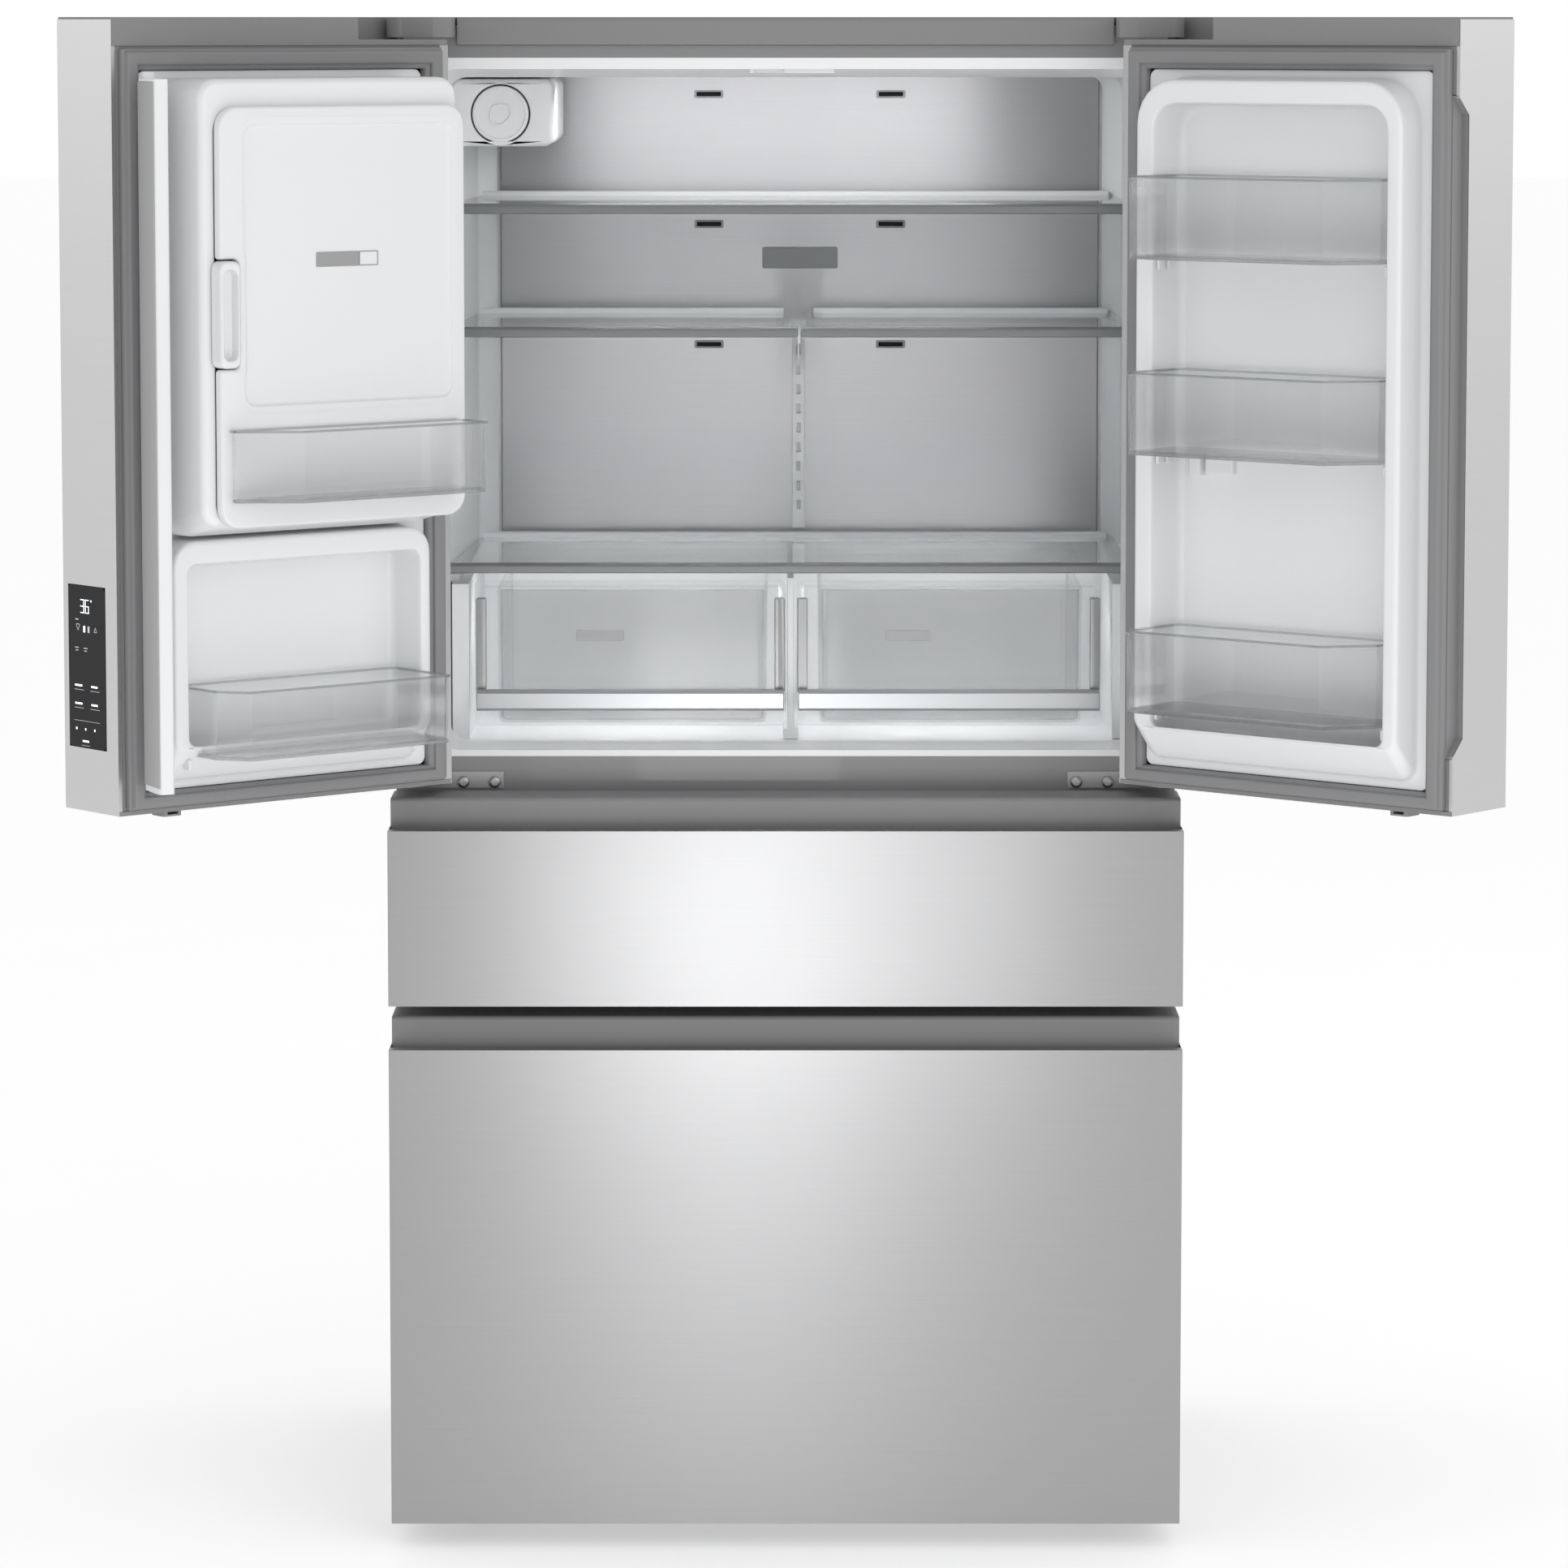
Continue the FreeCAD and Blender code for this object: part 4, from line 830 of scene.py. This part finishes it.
# --- fridge interior
def make_fridge_liner():
    """White inner box: tapered walls with rounded corners, and the shelf ledges."""
    mouth = (-402, 418, 911, 1700)
    back = (-379, 414.6, 911, 1688)

    def section(y, grow, corner):
        """Outline at depth y: the walls close in evenly, then round off into the back."""
        share = max(0, min(1, (y - 110) / 490))
        lift = max(0, min(1, (y - 150) / 85))
        x0 = mouth[0] + (back[0] - mouth[0]) * share
        x1 = mouth[1] + (back[1] - mouth[1]) * share
        top = mouth[3] + (back[3] - mouth[3]) * lift
        if y > 600:
            pull = (y - 600) / 45
            x0 += (-353 - back[0]) * pull
            x1 += (388 - back[1]) * pull
        return mm_rectangle(x0 - grow, x1 + grow, mouth[2] - grow, top + grow, corner + grow)

    lip = mm_rectangle(-401.7, 417.7, 905.3, 1711.5, 4)
    rings = mm_rings([
        (section(645, 2, 20), 647), (section(600, 2, 24), 600), (section(235, 2, 24), 235),
        (section(150, 2, 22), 150), (section(122, 2, 22), 121.6), (lip, 121.4), (lip, 120.6),
        (moved_in(lip, 0.0006), 120.2), (section(120, -1.5, 24), 120.2),
        (section(122, -0.4, 23), 121.4), (section(124, 0, 22), 125), (section(150, 0, 22), 150),
        (section(235, 0, 24), 235), (section(420, 0, 24), 420), (section(596, 0, 24), 596),
        (section(605, 0, 24), 605), (section(640, 0, 22), 640), (section(645, 4, 20), 645),
    ])
    pieces = [loft("liner_box", rings, upright_place)]
    for top in (1528, 1384, 1104):
        for x0, x1 in ((-400.5, -384), (406, 417.5)):
            pieces.append(mm_block(f"ledge_{top}_{x0:.0f}", (x0, x1), (262, 590),
                                   (top - 10, top), 3))
    for x0, x1 in ((-401.5, -396), (412.5, 417.5)):
        for top in (1582, 1528, 1384):
            pieces.append(mm_block(f"clip_{top}_{x0:.0f}", (x0, x1), (196, 232),
                                   (top - 16, top + 10), 2))
    # the inner box takes the lighter copy of the liner white, painted light
    dress(join("fridge_inner_box", pieces), "cabinet", "inner_white", "white_plastic",
          "fridge_liner")


def make_shelves():
    """Moulded trims round the glass: satin front bar, white back bar and side rails."""
    shelves = {"wide": [(-398.5, 414.0, 1541), (-397.0, 413.5, 1120)],
               "half": [(-398.5, 14.5, 1397), (17.5, 414.0, 1397)]}
    for kind, rows in shelves.items():
        bars = []
        rails = []
        for index, (x0, x1, top) in enumerate(rows):
            bar = rounded(mm_points([
                (226, top - 11), (230, top - 12), (240, top - 12), (240, top),
                (229, top), (226, top - 3)]), [0.001, 0.001, 0.001, 0.0005, 0.002, 0.002], 3)
            bars.append(pad(f"bar_{kind}_{index}", bar, x0 * MM, x1 * MM, sideways_place,
                            0.0012))
            rails.append(mm_block(f"back_{kind}_{index}", (x0 + 16, x1 - 16), (610, 630),
                                  (top - 10, top + 4), 2.5))
            for x in (x0 + 16, x1 - 26):
                rails.append(mm_block(f"rail_{kind}_{index}_{x:.0f}", (x, x + 10),
                                      (240.5, 612), (top - 12, top - 6.5), 1))
        dress(join(kind + "_shelf_bars", bars), "cabinet", "silver_trim", "silver_trim",
              kind + "_shelf_trims")
        dress(join(kind + "_shelf_rails", rails), "cabinet", "white_plastic", "white_plastic")


def make_crisper(side, x0, x1):
    """Clear drawer with a framed front, white end clips and a satin bar handle."""
    body = f"crisper_{side}_drawer"
    panel = mm_rectangle(x0, x1, 928, 1099, 6)
    window = mm_rectangle(x0 + 7, x1 - 7, 935, 1092, 4)
    rings = mm_rings([
        (moved_in(panel, 0.0008), 239.5), (panel, 239), (panel, 235.6),
        (moved_in(panel, 0.0008), 235), (moved_in(window, -0.002), 235),
        (moved_in(window, 0.0004), 236.6), (moved_in(window, 0.0014), 237.2),
    ])
    front = loft(f"crisper_{side}_window", rings, upright_place)
    outline = mm_rectangle(x0 + 26, x1 - 22, 239.7, 590, 12)
    tub = tray(f"crisper_{side}_box", outline, 0.930, 1.088, 0.003, 0.003, flat_place,
               0.001, 0.001)
    dress(join(f"crisper_{side}_clear", [front, tub]), body, "smoky_plastic",
          "clear_plastic", "crisper_" + side)

    profile = rounded(mm_points([
        (234.7, 946), (234.7, 971), (226, 971), (223, 967), (223, 949), (226, 946)]),
        [0.0005, 0.0005, 0.002, 0.002, 0.002, 0.002], 4)
    bar = pad(f"crisper_{side}_bar", profile, (x0 + 2) * MM, (x1 - 2) * MM, sideways_place,
              0.001)
    dress(bar, body, "handle_silver", "silver_trim", f"crisper_{side}_handle")
    clips = [mm_block(f"clip_{x:.0f}", (x, x + 12), (239.5, 252), (966, 1078), 2)
             for x in (x0 + 1, x1 - 13)]
    dress(join(f"crisper_{side}_clips", clips), body, "satin_silver", "silver_trim")


def make_crisper_badges():
    """Blank label plates above the crisper handles."""
    for side, x0, x1 in (("left", -246, -190), ("right", 118, 170)):
        plate = mm_rectangle(x0, x1, 1028, 1040, 1.5, 3)
        label = pad(f"crisper_{side}_label", plate, -0.2374, -0.2366, outward_place, 0.0002)
        dress(label, f"crisper_{side}_drawer", "plate_grey", "grey_plastic")


def make_filter():
    """Rounded housing in the ceiling corner and the round cap of the water filter."""
    centre_x, centre_z = -333, 1645

    def circle(radius):
        return mm_rectangle(centre_x - radius, centre_x + radius, centre_z - radius,
                            centre_z + radius, radius - 0.02, 10)

    outer = mm_rectangle(-393, -271, 1607, 1686, 12, 10)
    rings = mm_rings([
        (outer, 560), (outer, 258), (moved_in(outer, 0.0012), 253.5),
        (moved_in(outer, 0.004), 250.8), (moved_in(outer, 0.006), 250), (circle(36.4), 250),
        (circle(35.2), 250.8), (circle(34.6), 252.4), (circle(34.4), 300),
    ])
    dress(loft("filter_bay", rings, upright_place), "cabinet", "white_plastic",
          "white_plastic", "filter_housing")
    rings = mm_rings([
        (circle(27), 440), (circle(28), 436), (circle(28), 262), (circle(33), 261.5),
        (circle(33), 250.5), (circle(32.4), 248.8), (circle(31.2), 248), (circle(29.5), 248),
        (circle(28.8), 249), (circle(28), 249.6), (circle(12), 249.2),
    ])
    cap = loft("filter_cap", rings, upright_place)
    drop = []                     # outline of the droplet mark on the cap
    steps = 28
    for index in range(steps):
        angle = 2 * math.pi * index / steps
        radius = 13 * (1 - 0.12 * math.cos(2 * angle))
        x = radius * math.sin(angle) * (1 - 0.55 * max(0, math.cos(angle)) ** 2)
        z = radius * math.cos(angle) * (1.25 if math.cos(angle) > 0 else 1.0)
        across, up = (-x - z) * math.sqrt(0.5), (z - x) * math.sqrt(0.5)
        drop.append(Vector(((centre_x + across) * MM, (centre_z - 1 + up) * MM)))
    drop_ring = ring_body("drop", drop, moved_in(drop, 0.0024), -0.2496, -0.2474,
                          outward_place, 0.0006)
    dress(join("filter_turn_cap", [cap, drop_ring]), "water_filter", "white_plastic",
          "white_plastic", "filter_cartridge")


def make_vents():
    """Framed air slots with near-black wells behind them as painted shade, edge seams on the
    duct panel, and its blank badge plate.
    """
    frames = []
    wells = []
    for z in (1663.4, 1503.5, 1355.0):
        for x in (-94.5, 130.0):
            name = f"{z:.0f}_{x:.0f}"
            outer = mm_rectangle(x - 18, x + 18, z - 5, z + 5, 2, 3)
            inner = mm_rectangle(x - 15, x + 15, z - 2.6, z + 2.6, 1, 3)
            frames.append(ring_body("frame_" + name, outer, inner, -0.6405, -0.6388,
                                    outward_place, 0.0004))
            wells.append(mm_block("well_" + name, (x - 15.4, x + 15.4), (642.4, 644.4),
                                  (z - 2.9, z + 2.9), 0.3))
    dress(join("vent_frames", frames), "cabinet", "silver_trim", "silver_trim")
    dress(join("vent_wells", wells), "cabinet", "void_black", "dark_plastic")
    duct_low, duct_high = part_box("duct_panel")
    face = duct_low.y - FRONT
    seams = []
    for index, x in enumerate((duct_low.x, duct_high.x)):
        seams.append(block(f"seam_{index}", (x - 0.0008, face - 0.0004, duct_low.z + 0.004),
                           (x + 0.0008, face + 0.0016, duct_high.z - 0.004), 0.0003))
    dress(join("duct_seams", seams), "cabinet", "grey_plastic", "grey_plastic")
    plate = mm_rectangle(-28.6, 64.4, 1449, 1475, 2, 3)
    badge = pad("duct_badge", plate, -0.6398, -0.6382, outward_place, 0.0005)
    dress(badge, "cabinet", "silver_trim", "silver_trim")


# --- controls
SEGMENTS = {"3": "abcdg", "6": "acdefg"}


def segment_bars(left_edge, low, width, height, stroke, letters):
    """Rectangles (a0, a1, b0, b1) that make up one seven-segment digit."""
    right_edge = left_edge + width
    middle = low + height / 2
    top = low + height
    bars = {
        "a": (left_edge, right_edge, top - stroke, top),
        "b": (right_edge - stroke, right_edge, middle, top),
        "c": (right_edge - stroke, right_edge, low, middle),
        "d": (left_edge, right_edge, low, low + stroke),
        "e": (left_edge, left_edge + stroke, low, middle),
        "f": (left_edge, left_edge + stroke, middle, top),
        "g": (left_edge, right_edge, middle - stroke / 2, middle + stroke / 2),
    }
    return [bars[letter] for letter in letters]


def make_controls():
    """Lit digits and plain symbols behind the black glass on the left door's free edge."""
    low, high = left.shut_box("control_panel")
    depth = (high.y - low.y) / MM
    face = left.edge + high.x

    def place(a, b, height):
        return left.at(face + height, a + low.y - left.inner, b)

    stroke_base, stroke_face = 0.00002, 0.00018
    bright = []
    for index, digit in enumerate("36"):
        bright += segment_bars(24 + 9.5 * index, 1109, 7, 15, 0.9, SEGMENTS[digit])
    bright += [(44, 46, 1122, 1124), (29.5, 33, 1088, 1095)]
    for z in (1028, 1008):
        bright += [(12, 26, z, z + 2), (44, 56, z, z + 2)]
    bright += [(13, 15.5, 980, 982.5), (31, 33, 980, 982.5), (49, 51, 980, 982.5),
               (26, 38, 967, 969)]
    dim = [(14, 20, 1101, 1102.2), (38, 41.5, 1088, 1095), (13, 20, 1070, 1071),
           (14, 19, 1067, 1068), (30, 37, 1070, 1071), (31, 36, 1067, 1068),
           (10, 60, 990, 990.4), (24, 40, 963, 963.4)]
    dim += [(a, a + 18, z, z + 0.5) for a in (11, 42) for z in (1024, 1004)]
    triangles = [[(16, 1096), (19, 1090), (22, 1096)], [(50, 1089), (56, 1089), (53, 1095)]]
    for name, material, marks in (("bright", "icon_white", bright), ("dim", "icon_dim", dim)):
        strokes = []
        for index, (a0, a1, b0, b1) in enumerate(marks):
            if a1 < depth:
                outline = mm_rectangle(a0, a1, b0, b1, 0.15, 2)
                rings = [(outline, stroke_base), (outline, stroke_face)]
                strokes.append(loft(f"{name}_{index}", rings, place))
        if name == "dim":
            for index, corners in enumerate(triangles):
                outline = rounded([Vector(c) * MM for c in corners], 0.0002, 2)
                inner = moved_in(outline, 0.0006 if index else -0.0006)
                strokes.append(ring_body(f"triangle_{index}", outline, inner, stroke_base,
                                         stroke_face, place, 0.00004))
        dress(join("display_" + name, strokes), "left_door", material, "panel_glass")


# --- feet and underside
def make_feet():
    """Levelling feet with ribbed turning rims."""
    rim_radius, groove_radius, ribs = 0.0174, 0.0162, 36
    low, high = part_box("levelling_feet")
    centre_x = high.x - rim_radius
    centre_y = low.y + rim_radius
    feet = []
    for side in (-1, 1):
        def place(a, b, height):
            return Vector((side * centre_x + a, centre_y + b, height))

        outline = []
        for index in range(ribs * 4):
            angle = 2 * math.pi * index / (ribs * 4)
            radius = rim_radius if index % 4 < 2 else groove_radius
            outline.append(Vector((radius * math.cos(angle), radius * math.sin(angle))))

        def scaled(factor):
            return [point * factor for point in outline]

        rings = [(scaled(0.93), 0), (outline, 0.0012), (outline, 0.012), (scaled(0.95), 0.014),
                 (scaled(0.62), 0.0145), (scaled(0.62), 0.021), (scaled(0.49), 0.0215),
                 (scaled(0.49), 0.039)]
        feet.append(loft(f"foot_{side}", rings, place))
    dress(join("ribbed_feet", feet), "cabinet", "dark_plastic", "dark_plastic", "levelling_feet")


def make_under_pan():
    """Plated tray that closes the underside of the insulated body."""
    pan = mm_block("under_pan", (-440, 440), (124, 455), (46.3, 47.8), 0.5)
    dress(pan, "cabinet", "zinc", "galvanised_steel")


# --- studio
def make_floor():
    """Pale floor that glows a little, so that it runs into the background."""
    size = 60.0
    mesh = bpy.data.meshes.new("studio_floor")
    corners = [(-size, -size, 0), (size, -size, 0), (size, size, 0), (-size, size, 0)]
    mesh.from_pydata(corners, [], [(0, 1, 2, 3)])
    floor = new_object("studio_floor", mesh)
    paint = surface("floor_paint", (0.9, 0.9, 0.9), 0.6, 0, 0, 40, 0.02, 0.01)
    preset(paint.node_tree.nodes["Principled BSDF"],
           {"Emission Color": (1, 1, 1, 1), "Emission Strength": 0.37})
    floor.data.materials.append(paint)


def area_light(name, place, aim, size, power):
    """Rectangular soft light, aimed at a point and unseen by the camera."""
    light = bpy.data.lights.new(name, "AREA")
    light.shape = "RECTANGLE"
    light.size, light.size_y = size
    light.energy = power
    lamp = new_object(name, light)
    lamp.location = place
    lamp.rotation_mode = "QUATERNION"
    lamp.rotation_quaternion = (Vector(aim) - Vector(place)).to_track_quat("-Z", "Y")
    lamp.visible_camera = False


def make_studio():
    """White background, dimmer as light than as seen by the camera, and the lamps."""
    world = bpy.data.worlds.new("studio")
    bpy.context.scene.world = world
    world.use_nodes = True
    tree = world.node_tree
    sky = tree.nodes["Background"]
    preset(sky, {"Color": (1.0, 1.0, 1.0, 1)})
    seen = tree.nodes.new("ShaderNodeLightPath")
    level = tree.nodes.new("ShaderNodeMapRange")
    preset(level, {"To Min": 0.66, "To Max": 1.0})
    tree.links.new(seen.outputs["Is Camera Ray"], level.inputs["Value"])
    tree.links.new(level.outputs["Result"], sky.inputs["Strength"])
    area_light("key", (2.4, -4.6, 2.9), (-0.2, 0.2, 0.9), (4.4, 3.6), 43)
    area_light("strip", (-0.08, FRONT - 3.0, 0.34), (-0.08, FRONT, 0.6), (0.34, 0.72), 4.6)
    area_light("cabin", (0.0, FRONT + 0.30, 1.675), (0.0, FRONT + 0.50, 1.0), (0.5, 0.05), 1.3)
    area_light("cabin_fill", (0.0, FRONT - 1.1, 0.62), (0.0, FRONT + 0.5, 1.3), (0.7, 0.3),
               1.1)
    area_light("crisper_glow", (0.0, FRONT + 0.30, 1.088), (0.0, FRONT + 0.42, 0.95),
               (0.66, 0.04), 1.1)
    area_light("left_rim", (-5.0, 0.6, 3.0), (-0.6, 0.0, 1.6), (2.0, 2.6), 14)
    area_light("right_rim", (5.0, 0.6, 3.0), (0.6, 0.0, 1.6), (2.0, 2.6), 14)
    bpy.context.scene.view_settings.view_transform = "Standard"


def make_camera():
    """Viewpoint of a standing person's eye height, well back, looking slightly down."""
    distance, height, degrees_down = 6.7822, 1.7562, 5.4957
    data = bpy.data.cameras.new("camera")
    data.lens = 137.79
    data.sensor_width = 36.0
    data.shift_y = -0.12
    data.clip_end = 100.0
    camera = new_object("camera", data)
    camera.location = (-0.0018, FRONT - distance, height)
    camera.rotation_euler = (math.radians(90 - degrees_down), 0, 0)
    bpy.context.scene.camera = camera


make_right_door_inside()
make_left_door_inside()
make_right_grip()
make_gasket(left)
make_gasket(right)
make_edge_frame(left, BAND_FREE_EDGE)
make_edge_frame(right, 441.5)
make_ice_compartment()
make_fridge_liner()
make_shelves()
make_crisper("left", -365, 0)
make_crisper("right", 13, 371)
make_crisper_badges()
make_filter()
make_vents()
make_controls()
make_feet()
make_under_pan()
make_floor()
make_studio()
make_camera()

bpy.context.view_layer.update()
